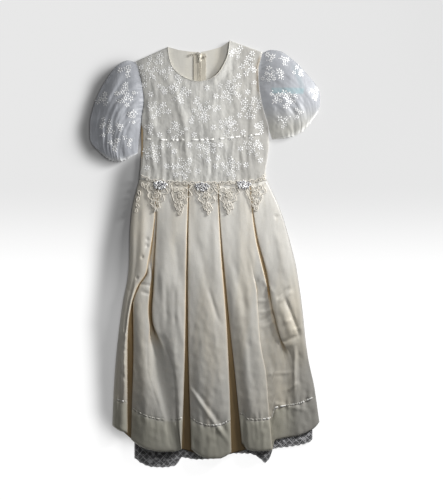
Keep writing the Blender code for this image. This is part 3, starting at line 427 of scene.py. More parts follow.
def bodice_plan(u, v):
    """Where a place of the bodice front lies in plan, u across and v from the top to the waist."""
    top = bodice_top(u)
    across = mix(u, (top.x - SHOULDER_LEFT.x) / (SHOULDER_RIGHT.x - SHOULDER_LEFT.x), 0.5)
    low_left, low_right = SIDES["left"](WAIST_Y), SIDES["right"](WAIST_Y)
    low_x = mix(low_left, low_right, across)
    y = mix(top.y, waist_y(low_x) + SEAM_GAP, v)
    spread = v**0.75
    x = mix(top.x, low_x, spread)
    left_line = mix(SHOULDER_LEFT.x, low_left, spread)
    left_y = mix(SHOULDER_LEFT.y, waist_y(low_left), v)
    right_line = mix(SHOULDER_RIGHT.x, low_right, spread)
    right_y = mix(SHOULDER_RIGHT.y, waist_y(low_right), v)
    x += (SIDES["left"](left_y) - left_line) * smooth(1.0 - u / SHOULDER_SHARE)
    x += (SIDES["right"](right_y) - right_line) * smooth(1.0 - (1.0 - u) / SHOULDER_SHARE)
    return x, y


def organza_height(x, y):
    """The sheer overlay's height: a little looser than the satin under it."""
    loose = 0.35 * ripple(x, y * 0.35, 9.0, 8.0) + 0.25 * math.sin(x / 2.6 + 2.0 * ripple(x, y, 40.0, 5.0))
    loose *= 0.4 + 0.6 * smooth(1.0 - (y - waist_y(x)) / 150.0)
    return bodice_height(x, y) + LAYER + ORGANZA_LOOSE + loose


# Skirt

# Corners of each half of a pleat's fold, and of the rounded side
FOLD_STEPS = 5
SIDE_STEPS = 7


def pleat_fold(edge, facing, high, low, room, kept=1.0, soft=0.0, warm=1.0):
    """A panel's edge as (x, z, top, fold): round under the panel, back by the tuck, and round
    again. The last number says how deep the fold is, so the warm shade painted into it fades out
    with it. A soft fold opens into a slope of that width instead."""
    step = max(high - low, 0.0)
    tucked = kept * smooth((step - 1.6) / 1.2) * smooth((room - 2.0) / 4.0)
    depth = min(TUCK, max(room, 1.0))
    radius = step / 4
    points = []
    for i in range(2 * FOLD_STEPS):
        arc, turn = divmod(i, FOLD_STEPS)
        angle = math.pi * turn / (FOLD_STEPS - 1)
        if arc == 0:
            round_x = radius * (math.sin(angle) - 1)
            round_z = high - radius * (1 - math.cos(angle))
        else:
            round_x = -depth - radius * math.sin(angle)
            round_z = high - radius * (3 - math.cos(angle))
        share = i / (2 * FOLD_STEPS - 1)
        x = mix(PLEAT_RAMP * share - soft * (1 - share), round_x, tucked)
        z = mix(high - step * smooth(share), round_z, tucked)
        # How much painted shade the fold's cloth takes, none on a shallow step
        deep = warm * smooth((step - 0.8) / 2.6)
        top = mix(1.0, max(0.0, 1.0 - share * 2.2), smooth(step / 1.6))
        points.append((edge + facing * x, z, top, deep * min(1.0, 3.0 * share)))
    return points


def skirt_side(edge, facing, height):
    """The skirt's outer edge, rounded up from the cloth under it, as (x, z, top, fold)."""
    points = []
    for i in range(SIDE_STEPS):
        angle = math.pi / 2 * i / (SIDE_STEPS - 1)
        x = edge + facing * SIDE_ROUND * (1 - math.cos(angle))
        points.append((x, mix(SKIRT_SIDE_Z, height, math.sin(angle)), math.sin(angle) ** 2, 0.0))
    return points


PANEL_EDGES = {
    "inner": ("side_r", "tuck_l"), "wide": ("tuck_r", "b_l"), "centre": ("b_r", "c_l"), "right": ("c_r", "low"),
    "low": ("low", "d_l"), "far": ("d_r", "right"),
}
PANEL_STEPS = {"side": 13, "inner": 15, "wide": 21, "centre": 27, "right": 25, "low": 13, "far": 23}

# How far a panel's left side rounds down to its pleat near the hem: its depth, its width, and the
# shares of the skirt's length over which it begins
Shoulder = namedtuple("Shoulder", "drop width starts full")
SHOULDERS = {
    "inner": Shoulder(6.5, 32.0, 0.50, 0.85), "centre": Shoulder(3.2, 22.0, 0.35, 0.80),
    "right": Shoulder(4.2, 32.0, 0.40, 0.80),
}


def skirt_section(v):
    """The skirt front cut across at v, and where each panel's top starts and ends in it."""
    ground = UNDERLAY_Z
    h = {name: ground + curve(v) for name, curve in HEIGHTS.items()}
    x = {name: curve(v) for name, curve in ROWS.items()}
    crown = mix(0.2, 2.6, smooth(v / 0.6))
    room = {name: (x[end] - x[start]) / 2 - 3.5 for name, (start, end) in PANEL_EDGES.items()}
    room["side"] = x["side_l"] - x["left"] - SIDE_ROUND - 2
    starts = smooth((v - 0.34) / 0.06)
    fades_a = smooth((0.60 - v) / 0.10)
    soft_a = mix(34.0, 15.0, smooth((v - 0.70) / 0.22)) * smooth((v - 0.46) / 0.26)
    drops = smooth((v - 0.40) / 0.08)
    fades_low = smooth((0.40 - v) / 0.06)
    fades_far = smooth((0.64 - v) / 0.06)
    opens_a = smooth((v - 0.50) / 0.14)
    opens_d = smooth((v - 0.60) / 0.10)
    floor_a = min(h["tuck_floor"], h["inner"])
    floor_d, floor_far = min(h["d_floor"], h["low"]), min(h["d_floor"], h["far"])
    panels = (
        ("side", None, h["box"], (x["side_l"], ground, room["side"], 1.0)),
        (
            "inner", (x["side_r"], ground, room["inner"], starts), h["inner"],
            (x["tuck_l"], floor_a, room["inner"], starts * fades_a, 0.6 * soft_a, 1.0 - opens_a),
        ),
        (
            "wide", (x["tuck_r"], h["tuck_floor"], room["wide"], fades_a, soft_a, 1.0 - opens_a), h["box"],
            (x["b_l"], ground, room["wide"], 1.0),
        ),
        ("centre", (x["b_r"], ground, room["centre"], 1.0), h["box"], (x["c_l"], ground, room["centre"], 1.0)),
        (
            "right", (x["c_r"], ground, room["right"], 1.0), h["box"],
            (x["low"], h["low"], room["right"], drops, 0.0, 0.35),
        ),
        ("low", None, h["low"], (x["d_l"], floor_d, room["low"], fades_low, 4.0 * opens_d, 1.0 - opens_d)),
        (
            "far", (x["d_r"], floor_far, room["far"], fades_far, 12.0 * opens_d, 1.0 - opens_d), h["far"],
            None,
        ),
    )
    points, tops = [], {}
    for name, left, height, right in panels:
        shoulder = SHOULDERS.get(name, Shoulder(0.0, 1.0, 0.0, 1.0))
        begun = smooth((v - shoulder.starts) / (shoulder.full - shoulder.starts))
        drop = min(shoulder.drop * begun, 0.7 * (height - ground))
        if left:
            points += list(reversed(pleat_fold(left[0], -1, height - drop, *left[1:])))
        elif name == "side":
            points += skirt_side(x["left"], 1, height)
        first = len(points) - 1
        end = pleat_fold(right[0], 1, height, *right[1:]) if right else None
        if end is None:
            end = list(reversed(skirt_side(x["right"], -1, height)))
        low_crown = crown * {"low": 0.4, "far": 0.9}.get(name, 1.0)
        if name in ("right", "low"):
            low_crown *= mix(0.1, 1.0, smooth((v - 0.22) / 0.2))
        if name in ("low", "far"):
            low_crown *= mix(1.0, 0.15, smooth((v - 0.6) / 0.12))
        # The inner panel's top lies low between its neighbours and takes the pleats' painted shade
        painted_deep_shade = 1.0 - smooth((v - 0.25) / 0.08) if name == "inner" else 0.0
        steps = PANEL_STEPS[name]
        start_x, end_x = points[-1][0], end[0][0]
        for i in range(1, steps + 1):
            share = i / (steps + 1)
            inside = (end_x - start_x) * share
            rise = low_crown * math.sin(math.pi * share) ** 0.8
            if drop:
                rise -= drop * (1.0 - smooth(inside / min(shoulder.width, 0.9 * (end_x - start_x))))
            points.append((mix(start_x, end_x, share), height + rise, 1.0, painted_deep_shade))
        tops[name] = (first, len(points))
        points += end
    return points, tops


def seam_v(x):
    """How far down the skirt the hem band's seam and its ribbon lie at x."""
    return HEM_RIBBON_V - SEAM_LINE(x)


def skirt_place(x, z, top, v):
    """A point of the skirt's cloth, with its creases and the step at the hem band."""
    seam = seam_v(x)
    y = mix(waist_y(x) - SEAM_GAP, HEM_LINE(x), v)
    lift = crease_height(SKIRT_CREASES, x, y)
    lift += 1.5 * ripple(x, y * 0.22, 24.0, 1.0) + 0.5 * ripple(x, y * 0.5, 9.0, 2.0) * smooth(v * 2)
    lift += 0.5 * ripple(x + y * 0.5, y - x * 0.3, 14.0, 7.0) * smooth((v - 0.3) * 2)
    band = smooth((v - seam - 0.008) / 0.01)
    pucker = bump(v - seam, 0.028)
    lift += 0.6 * pucker * math.sin(x / 2.4 + 2.5 * ripple(x, 0.0, 20.0, 4.0)) - 0.9 * pucker + 0.5 * band
    lift -= 0.8 * bump(v - seam, 0.004)
    lift += 0.8 * band * ripple(x, y * 0.3, 12.0, 11.0)
    lift += 0.5 * math.exp(-v / 0.06) * math.sin(x / 2.3 + ripple(x, 0.0, 15.0, 12.0))
    z += lift * top
    roll = smooth((v - 0.992) / 0.008)
    return Vector((x, y, max(z - 1.3 * roll * top, 0.9)))


# Sleeves

LAST_RING = 9
LEFT_RINGS = columns_of(LEFT_SLEEVE)
RIGHT_RINGS = columns_of(RIGHT_SLEEVE)


def sleeve_place(rings, side, index, share, on_top):
    """A place on a sleeve: index from the armhole (0) to the cuff (9), share from its inner end."""
    r = {name: curve(index) for name, curve in rings.items()}
    first = {name: curve(0) for name, curve in rings.items()}
    run = Vector((r["outer_x"] - r["inner_x"], r["outer_y"] - r["inner_y"]))
    towards_shoulder = Vector((-side * run.y, side * run.x)).normalized()
    bulge = math.sin(math.pi * share)
    plan = Vector((r["inner_x"], r["inner_y"])) + run * share + towards_shoulder * r["bow"] * bulge
    edge_y = mix(first["inner_y"], first["outer_y"], share)
    edge = SIDES["left"](edge_y) if side < 0 else SIDES["right"](edge_y)
    bend = edge + side * ARMHOLE_GAP - mix(first["inner_x"], first["outer_x"], share)
    plan.x += r["follow"] * bend * (1.0 if index < 0.01 else bulge**0.5)
    if not on_top:
        return Vector((plan.x, plan.y, SLEEVE_FLOOR_Z))
    arch = max(bulge, 0.0) ** 0.6
    z = SLEEVE_END_Z + (r["height"] - SLEEVE_END_Z) * arch
    head = math.exp(-index / 0.9)
    cuff = math.exp(-(LAST_RING - index) / 1.1)
    phase = 3.0 * ripple(share * 60.0, index * 3.0, 14.0, 6.0 + side)
    wave = math.sin(2 * math.pi * CUFF_GATHERS * share + phase)
    z += bulge * (0.7 * cuff + 0.7 * head) * wave
    z += bulge * 2.0 * ripple(plan.x + 0.5 * plan.y, plan.y * 0.4, 26.0, 9.0 + side)
    z += bulge * 3.4 * ripple(share * 7.0 + 0.2 * index, index * 0.34, 1.0, 21.0 + side)
    z += bulge * 1.6 * ripple(share * 19.0, index * 0.6 - share * 2.0, 1.0, 31.0 + side)
    rim = math.exp(-(LAST_RING - index) / 0.35) * bulge
    plan += towards_shoulder * rim * (1.6 * wave - 0.6)
    return Vector((plan.x, plan.y, max(z, 1.2)))


# Colours that the panel doesn't set
BLACK, WHITE = (0.0, 0.0, 0.0), (1.0, 1.0, 1.0)
# The lining's colour, its painted pleat shade and its painted fold-edge highlight
LINING, LINING_FOLD_SHADE, LINING_EDGE_HIGHLIGHT = (0.68, 0.66, 0.60), (0.4, 0.3, 0.2), (0.7, 0.6, 0.45)
STAIN_BLUE, WARMER_LOWER_SLEEVE = (0.24, 0.46, 0.50), (0.60, 0.58, 0.50)
ARMHOLE_SHADE, CUFF_RIM = (0.24, 0.18, 0.11), (0.92, 0.92, 0.90)
COTTON = (0.60, 0.57, 0.50)
NET_THREAD, NET_HOLE_SHADE = (0.80, 0.80, 0.82), (0.04, 0.04, 0.044)
RIBBON_BRIGHT, RIBBON_GREY, RIBBON_SHADED = (1.0, 0.99, 0.95), (0.85, 0.83, 0.77), (0.56, 0.545, 0.49)
BEAD_DARK_REFLECTION = (0.05, 0.05, 0.07)
ZIP_TAPE, ZIP_THREAD = (0.58, 0.54, 0.45), (0.62, 0.58, 0.50)
TEETH_PALE, TEETH_WORN = (0.66, 0.62, 0.52), (0.5, 0.46, 0.38)
SLIDER_PALE, SLIDER_WORN = (0.70, 0.66, 0.56), (0.36, 0.34, 0.30)


# Shader helpers

class Value:
    """A number that varies over a surface, with arithmetic that makes Math nodes."""

    def __init__(self, finish, socket):
        self.finish = finish
        self.socket = socket

    def join(self, operation, *others):
        inputs = dict(enumerate([self.socket, *(o.socket if isinstance(o, Value) else o for o in others)]))
        return self.finish.node("ShaderNodeMath", {"operation": operation}, inputs)

    def __add__(self, other):
        return self.join("ADD", other)

    __radd__ = __add__

    def __mul__(self, other):
        return self.join("MULTIPLY", other)

    __rmul__ = __mul__

    def __sub__(self, other):
        return self.join("SUBTRACT", other)

    def __rsub__(self, other):
        return self.join("MULTIPLY", -1.0).join("ADD", other)

    def clamp(self):
        return self.finish.node("ShaderNodeClamp", {}, {0: self.socket})

    def power(self, exponent):
        return self.join("POWER", exponent)

    def ramp(self, low, high):
        """0 below low, 1 above high, and a smooth rise between."""
        return self.finish.node(
            "ShaderNodeMapRange", {"interpolation_type": "SMOOTHSTEP"}, {0: self.socket, 1: low, 2: high}
        )


class Finish:
    """A Principled material whose varying parts are made by expressions."""

    def __init__(self, name, **fixed):
        self.material = bpy.data.materials.new(name)
        self.material.use_nodes = True
        self.tree = self.material.node_tree
        self.shader = self.tree.nodes["Principled BSDF"]
        for socket, value in fixed.items():
            self.shader.inputs[socket.replace("_", " ")].default_value = value

    def node(self, kind, settings, inputs, output=0):
        """A node with its settings, then its inputs as numbers or links; gives one output."""
        made = self.tree.nodes.new(kind)
        for name, value in settings.items():
            setattr(made, name, value)
        for key, value in inputs.items():
            self.feed(made.inputs[key], value)
        return Value(self, made.outputs[output])

    def feed(self, socket, value):
        """Links a varying value to a socket, or sets the socket to a fixed one."""
        value = value.socket if isinstance(value, Value) else value
        if isinstance(value, bpy.types.NodeSocket):
            self.tree.links.new(value, socket)
        else:
            socket.default_value = value

    def place(self, kind="Object"):
        return self.node("ShaderNodeTexCoord", {}, {}, kind)

    def stretched(self, place, scale, turn=0.0):
        inputs = {"Vector": place, "Scale": scale, "Rotation": (0.0, 0.0, turn)}
        return self.node("ShaderNodeMapping", {}, inputs)

    def clouds(self, place, scale, detail=2.0, roughness=0.5):
        inputs = {"Vector": place, "Scale": scale, "Detail": detail, "Roughness": roughness}
        return self.node("ShaderNodeTexNoise", {}, inputs)

    def patches(self, place, scale, detail, roughness=0.5):
        """Clouds with their own number of patches a metre along each axis."""
        return self.clouds(self.stretched(place, scale), 1.0, detail, roughness)

    def threads(self, place, scale, direction):
        settings = {"wave_type": "BANDS", "bands_direction": direction, "wave_profile": "SIN"}
        inputs = {"Vector": place, "Scale": scale, "Distortion": 0.0, "Detail": 1.0}
        return self.node("ShaderNodeTexWave", settings, inputs, 1)

    def painted(self, name):
        return self.node("ShaderNodeAttribute", {"attribute_name": name}, {}, 2)

    def axis(self, place, index):
        return self.node("ShaderNodeSeparateXYZ", {}, {0: place}, index)

    def tint(self, low, high, factor):
        """A colour between two colours or colour links."""
        low = (*low, 1.0) if isinstance(low, tuple) else low
        high = (*high, 1.0) if isinstance(high, tuple) else high
        return self.node("ShaderNodeMix", {"data_type": "RGBA"}, {0: factor, 6: low, 7: high}, 2)

    def relief(self, height, strength, distance, below=None):
        inputs = {"Height": height, "Strength": strength, "Distance": distance}
        if below is not None:
            inputs["Normal"] = below
        return self.node("ShaderNodeBump", {}, inputs)

    def set(self, socket, value):
        self.feed(self.shader.inputs[socket], value)


def toned(colour, *factors):
    """A colour times one factor, or times one factor a channel."""
    return tuple(c * s for c, s in zip(colour, factors * (3 // len(factors))))


def satin_finish(name, colour, fold_shade_colour, edge_highlight_colour, roughness):
    """Ivory satin: close threads and a cloudy sheen, yellowed at the far side, darker and yellower in
    the hem band and darker towards the lower right, with a paler, warmer painted highlight along the
    edge of a fold, painted warm brown shade deep inside a pleat and painted shade on the skirt's
    rounded right side."""
    f = Finish(name, Sheen_Weight=0.2, Sheen_Roughness=0.35, Specular_IOR_Level=0.6)
    place, cloth = f.place(), f.place("UV")
    clouds = f.patches(place, (24.0, 7.0, 1.0), 4.0, 0.6)
    slub = f.patches(cloth, (60.0, 900.0, 1.0), 2.0, 0.6)
    mottle = f.patches(place, (90.0, 60.0, 1.0), 3.0, 0.55)
    x, y = f.axis(place, 0), f.axis(place, 1)
    far_side = x.ramp(0.08, 0.2) * y.ramp(0.0, -0.2) * 0.8
    yellowed = (far_side + x.ramp(-0.12, -0.18) * 0.6 + mottle.ramp(0.5, 0.8) * 0.25).clamp()
    base = f.tint(colour, toned(colour, 0.98, 0.92, 0.80), yellowed)
    streaks = f.patches(place, (17.0, 2.6, 1.0), 2.0, 0.5)
    base = f.tint(base, toned(colour, 1.05, 0.98, 0.86), streaks.ramp(0.46, 0.68) * 0.5)
    dull = toned(colour, 0.82)
    base = f.tint(base, dull, clouds.ramp(0.42, 0.75) * 0.7)
    base = f.tint(base, toned(colour, 0.70, 0.70, 0.62), f.painted("band") * 0.8)
    base = f.tint(base, toned(colour, 0.66), x.ramp(0.16, 0.22) * y.ramp(-0.18, -0.27) * 0.8)
    base = f.tint(base, toned(colour, 0.42), f.painted("shade"))
    base = f.tint(base, dull, slub.ramp(0.5, 0.75) * 0.55)
    # A paler, warmer painted highlight along the edge of each fold
    base = f.tint(base, edge_highlight_colour, f.painted("edge"))
    # Painted warm brown shade deep inside the pleats, darker lower down the skirt
    deep = f.tint(fold_shade_colour, toned(fold_shade_colour, 0.5), y.ramp(-0.08, -0.36))
    base = f.tint(base, deep, f.painted("fold"))
    f.set("Base Color", base)
    f.set("Roughness", mottle * 0.2 + (roughness - 0.1))
    crumple = f.patches(place, (26.0, 13.0, 1.0), 3.0, 0.5)
    fine = f.patches(place, (130.0, 90.0, 1.0), 3.0, 0.6)
    weave = f.threads(cloth, 420.0, "X") + f.threads(cloth, 420.0, "Y")
    normal = f.relief(crumple, 0.22, 0.004)
    normal = f.relief(fine, 0.2, 0.001, normal)
    f.set("Normal", f.relief(weave, 0.1, 0.0002, normal))
    return f.material


def organza_finish(name, colour, shade, clear, stain=None):
    """Sheer crisp organza: fine threads that let the layer below show through."""
    f = Finish(name, Sheen_Weight=0.3, Sheen_Roughness=0.3, Specular_IOR_Level=0.5, Roughness=0.45)
    place = f.place()
    cloth = f.place("UV")
    clouds = f.patches(place, (38.0, 24.0, 30.0), 4.0, 0.6)
    base = f.tint(colour, shade, clouds.ramp(0.35, 0.7))
    # Darker over the bodice's right side and the right sleeve, which the key light from the right lights most:
    # a painted shade
    base = f.tint(base, toned(colour, 0.82), f.axis(place, 0).ramp(0.05, 0.12) * 0.5)
    if stain:
        x, y = f.axis(place, 0), f.axis(place, 1)
        line = (y - 0.3615 + x * 0.02).join("ABSOLUTE").ramp(0.0078, 0.0052)
        line = line * x.ramp(0.145, 0.148) * x.ramp(0.219, 0.214)
        rise = (x + y * 0.36 - 0.345).join("ABSOLUTE").ramp(0.009, 0.003)
        rise = rise * y.ramp(0.355, 0.36) * y.ramp(0.425, 0.40)
        ragged = f.patches(place, (160.0, 160.0, 160.0), 3.0, 0.6).ramp(0.2, 0.5)
        base = f.tint(base, stain, ((line * 0.5 + rise * 0.14) * ragged).clamp())
        # The right sleeve's lower part is tinted warmer
        base = f.tint(base, WARMER_LOWER_SLEEVE, y.ramp(0.335, 0.27) * 0.7)
    # Painted shade from the gap mark, beside the right armhole and over the bodice's right side
    base = f.tint(base, ARMHOLE_SHADE, f.painted("gap"))
    base = f.tint(base, CUFF_RIM, f.painted("rim") * 0.6)
    f.set("Base Color", base)
    threads = f.threads(cloth, 330.0, "X").ramp(0.2, 0.8) + f.threads(cloth, 330.0, "Y").ramp(0.2, 0.8)
    f.set("Alpha", (clouds * 0.3 + threads * 0.06 + f.painted("rim") * 0.4 + (1.0 - clear - 0.2)).clamp())
    pleats = f.patches(place, (120.0, 30.0, 60.0), 3.0, 0.55)
    f.set("Normal", f.relief(pleats, 0.45, 0.0025))
    return f.material


def thread_finish(name, colour, roughness=0.55, shade=0.8):
    """Twisted thread or cord: fine slanting ridges and a slightly uneven colour."""
    f = Finish(name, Sheen_Weight=0.4, Roughness=roughness)
    place = f.place()
    patches = f.patches(place, (140.0, 140.0, 140.0), 3.0)
    f.set("Base Color", f.tint(toned(colour, shade), colour, patches.ramp(0.3, 0.65)))
    twist = f.threads(f.stretched(place, (1.0, 1.0, 1.0), 0.8), 900.0, "X")
    f.set("Normal", f.relief(twist, 0.3, 0.0003))
    return f.material


def cotton_finish(name, colour):
    f = Finish(name, Roughness=0.85, Sheen_Weight=0.2)
    place = f.place()
    clouds = f.patches(place, (30.0, 30.0, 30.0), 4.0, 0.6)
    f.set("Base Color", f.tint(colour, toned(colour, 0.82), clouds.ramp(0.35, 0.7)))
    weave = f.threads(place, 500.0, "X") + f.threads(place, 500.0, "Y")
    f.set("Normal", f.relief(weave, 0.25, 0.0003))
    return f.material


def net_finish(name, thread, ground):
    """Machine lace: a diamond net with worked rims and small flowers on it, and a near-black painted shade in
    the holes between threads.
    """
    f = Finish(name, Roughness=0.8, Sheen_Weight=0.2)
    place = f.place()
    bent = f.patches(place, (60.0, 60.0, 60.0), 2.0) * 0.004
    x, y = f.axis(place, 0) + bent, f.axis(place, 1) - bent

    def diamonds(pitch, thin, full):
        turn = math.pi / pitch
        one = ((x + y) * turn).join("SINE").join("ABSOLUTE").ramp(thin, full)
        two = ((x - y) * turn).join("SINE").join("ABSOLUTE").ramp(thin, full)
        return one.join("MAXIMUM", two)

    net = diamonds(0.0050, 0.50, 0.16)
    rims = diamonds(0.0150, 0.26, 0.12)
    work = f.patches(place, (150.0, 150.0, 150.0), 3.0).ramp(0.52, 0.62)
    raised = (rims + work * 0.8).clamp()
    dim = toned(thread, 0.5)
    f.set("Base Color", f.tint(f.tint(ground, dim, net), thread, raised))
    f.set("Alpha", (raised + net * 0.7 + 0.62).clamp())
    f.set("Normal", f.relief(raised, 0.6, 0.0006))
    return f.material


# Meshes

def finished(name, bm, material, replaces=(), recalculate=False):
    """Turns a bmesh into a piece of the gown that rides on its body."""
    if recalculate:
        bmesh.ops.recalc_face_normals(bm, faces=bm.faces)
    mesh = bpy.data.meshes.new(name)
    bm.to_mesh(mesh)
    bm.free()
    mesh.shade_smooth()
    obj = bpy.data.objects.new(name, mesh)
    obj.data.materials.append(material)
    bpy.context.scene.collection.objects.link(obj)
    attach(obj, "root")
    if replaces:
        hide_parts(*replaces)
    return obj


def grid(columns, rows, place, size, marks=None):
    """A sheet whose corners stand where place(column, row) says, in millimetres, with cloth
    coordinates of the given size in metres and any painted marks."""
    bm = bmesh.new()
    uv = bm.loops.layers.uv.new("cloth")
    bmesh.ops.create_grid(bm, x_segments=columns, y_segments=rows, size=0.5)
    layers = {name: bm.verts.layers.float.new(name) for name in (marks or {})}
    spots = {}
    for vert in bm.verts:
        column = round((vert.co.x + 0.5) * columns)
        row = round((vert.co.y + 0.5) * rows)
        spots[vert] = (column / columns * size[0], row / rows * size[1])
        vert.co = place(column, row) * MM
        for name, layer in layers.items():
            vert[layer] = marks[name](column, row)
    for face in bm.faces:
        for loop in face.loops:
            loop[uv].uv = spots[loop.vert]
    return bm


def walled(obj, thickness):
    """Gives a sheet its thickness, in millimetres, half on each side."""
    wall = obj.modifiers.new("Wall", "SOLIDIFY")
    wall.thickness = thickness * MM
    wall.offset = 0.0


def tube(bm, points, radius, closed=False, sides=5):
    """Adds a round cord along points, in millimetres, made by carrying a ring from end to end."""
    count = len(points)
    rings = []
    for i, point in enumerate(points):
        before = points[i - 1] if closed or i else point
        after = points[(i + 1) % count] if closed or i < count - 1 else point
        along = (after - before).normalized()
        across = along.cross(Vector((0.0, 0.0, 1.0)))
        across = across.normalized() if across.length > 1e-6 else Vector((1.0, 0.0, 0.0))
        up = across.cross(along).normalized()
        ring = []
        for k in range(sides):
            angle = 2 * math.pi * k / sides
            spot = point + across * radius * math.cos(angle)
            ring.append(bm.verts.new((spot + up * radius * math.sin(angle)) * MM))
        rings.append(ring)
    pairs = list(zip(rings, rings[1:] + rings[:1])) if closed else list(zip(rings[:-1], rings[1:]))
    for a, b in pairs:
        for k in range(sides):
            bm.faces.new((a[k], a[(k + 1) % sides], b[(k + 1) % sides], b[k]))
    if not closed:
        bm.faces.new(rings[0])
        bm.faces.new(list(reversed(rings[-1])))


def oval(x, y, across, down, turn, corners=12):
    """The corners of an ellipse of the given half sides, turned about its middle."""
    ring = []
    for i in range(corners):
        angle = 2 * math.pi * i / corners
        px, py = across * math.cos(angle), down * math.sin(angle)
        ring.append(Point(
            x + px * math.cos(turn) - py * math.sin(turn), y + px * math.sin(turn) + py * math.cos(turn)
        ))
    return ring


def block(bm, centre, size):
    """Adds a box, in millimetres."""
    made = bmesh.ops.create_cube(bm, size=1.0)
    bmesh.ops.scale(bm, vec=Vector(size) * MM, verts=made["verts"])
    bmesh.ops.translate(bm, verts=made["verts"], vec=Vector(centre) * MM)


def round_edges(bm, radius, segments):
    bmesh.ops.bevel(
        bm, geom=bm.edges[:], offset=radius, segments=segments, profile=0.5, affect="EDGES", material=-1
    )


PETAL = table(Point, (
    (0.16, 0), (0.45, 0.17), (0.8, 0.2), (1, 0), (0.8, -0.2), (0.45, -0.17),
))
GOLDEN_ANGLE = 2.39996
SPRAY_SPACING = 6.9
LEAF = 4.4
PETAL_SWELL = 0.6


def petal(bm, centre, size, angle, height_at, lift):
    """Adds one satin-stitch petal or leaf: a low dome on the cloth, pointing along angle."""
    along = Vector((math.cos(angle), math.sin(angle)))
    across = Vector((-along.y, along.x))
    start = Vector((centre.x, centre.y))
    ring = []
    for reach in PETAL:
        spot = start + (along * reach.x + across * reach.y) * size
        ring.append(bm.verts.new(Vector((spot.x, spot.y, height_at(spot.x, spot.y) + lift)) * MM))
    middle = start + along * size * 0.64
    top = bm.verts.new(Vector((middle.x, middle.y, height_at(middle.x, middle.y) + lift + PETAL_SWELL)) * MM)
    for a, b in zip(ring, ring[1:] + ring[:1]):
        bm.faces.new((a, b, top))


def flower(bm, centre, size, petals, turn, height_at, lift):
    for k in range(petals):
        petal(bm, centre, size, turn + 2 * math.pi * k / petals, height_at, lift)


def spray(bm, spot, height_at, lift, chance, flower_size, keep):
    """Adds a round spray of flowers with leaves between them."""
    count = max(3, round((spot.size / SPRAY_SPACING) ** 2))
    for i in range(count):
        reach = spot.size * math.sqrt((i + 0.4) / count) * chance.uniform(0.84, 1.08)
        angle = i * GOLDEN_ANGLE + chance.uniform(-0.35, 0.35)
        centre = Point(spot.x + reach * math.cos(angle), spot.y + reach * math.sin(angle))
        size = flower_size * chance.uniform(0.75, 1.15)
        turn, petals = chance.uniform(0, 6.28), chance.choice((4, 5, 5, 6))
        leaf, far = chance.uniform(0, 6.28), chance.uniform(5.0, 7.0)
        if not keep(centre.x, centre.y):
            continue
        flower(bm, centre, size, petals, turn, height_at, lift)
        tip = Point(centre.x + far * math.cos(leaf), centre.y + far * math.sin(leaf))
        if keep(tip.x, tip.y):
            petal(bm, tip, LEAF, leaf + 1.2, height_at, lift)


# Operators

def length_of(name, description, metres):
    return FloatProperty(name=name, description=description, default=metres, unit="LENGTH")


def colour_of(name, description, colour):
    return FloatVectorProperty(name=name, description=description, default=colour, subtype="COLOR")


class GownSizes(bpy.types.PropertyGroup):
    cloth_wall: length_of("Satin wall", "Thickness of the satin", 0.0007)
    organza_wall: length_of("Organza wall", "Thickness of the sheer overlay", 0.0004)
    flower: length_of("Flower", "Radius of one embroidered flower", 0.0060)
    cord: length_of("Lace cord", "Radius of the waist lace's cord", 0.00095)
    seed: IntProperty(name="Embroidery seed", description="Changes how the flowers are turned", default=7)


class GownColours(bpy.types.PropertyGroup):
    satin: colour_of("Satin", "Ivory satin of the skirt and bodice", (0.68, 0.66, 0.61))
    # Pleat depths: the colour of the painted shade deep inside the pleats
    pleat: colour_of("Pleat depths", "Satin deep inside the pleats", (0.54, 0.38, 0.19))
    # Fold edges: the colour of the painted highlight along the folds
    edge: colour_of("Fold edges", "Warmer satin along the folds", (0.85, 0.74, 0.56))
    organza: colour_of("Organza", "Sheer overlay", (0.82, 0.815, 0.78))
    sleeve: colour_of("Sleeve organza", "Sheer sleeves", (0.60, 0.62, 0.665))
    flowers: colour_of("Embroidery", "Embroidery thread", (1.0, 1.0, 0.99))
    lace: colour_of("Waist lace", "Corded lace at the waist", (0.86, 0.81, 0.72))


def sizes():
    return bpy.context.scene.gown_sizes


def colours():
    return bpy.context.scene.gown_colours


def satin_material():
    """The gown's satin, made once."""
    name, c = "ivory satin cloth", colours()
    found = bpy.data.materials.get(name)
    return found or satin_finish(name, tuple(c.satin), tuple(c.pleat), tuple(c.edge), 0.42)


# How finely each sheet is divided: rows, columns and rows, and points above and below with rows
SKIRT_MESH_ROWS = 180
BODICE_MESH = (150, 110)
SLEEVE_MESH = (110, 26, 64)

# The size of each sheet's cloth coordinates in metres, across and along
SKIRT_CLOTH = (1.25, 0.6)
BODICE_CLOTH = (0.28, 0.31)
SLEEVE_CLOTH = (0.36, 0.2)
PIPING_STEPS = 120
PIPING_RADIUS = 0.85
PIPING_LIFT = 0.35


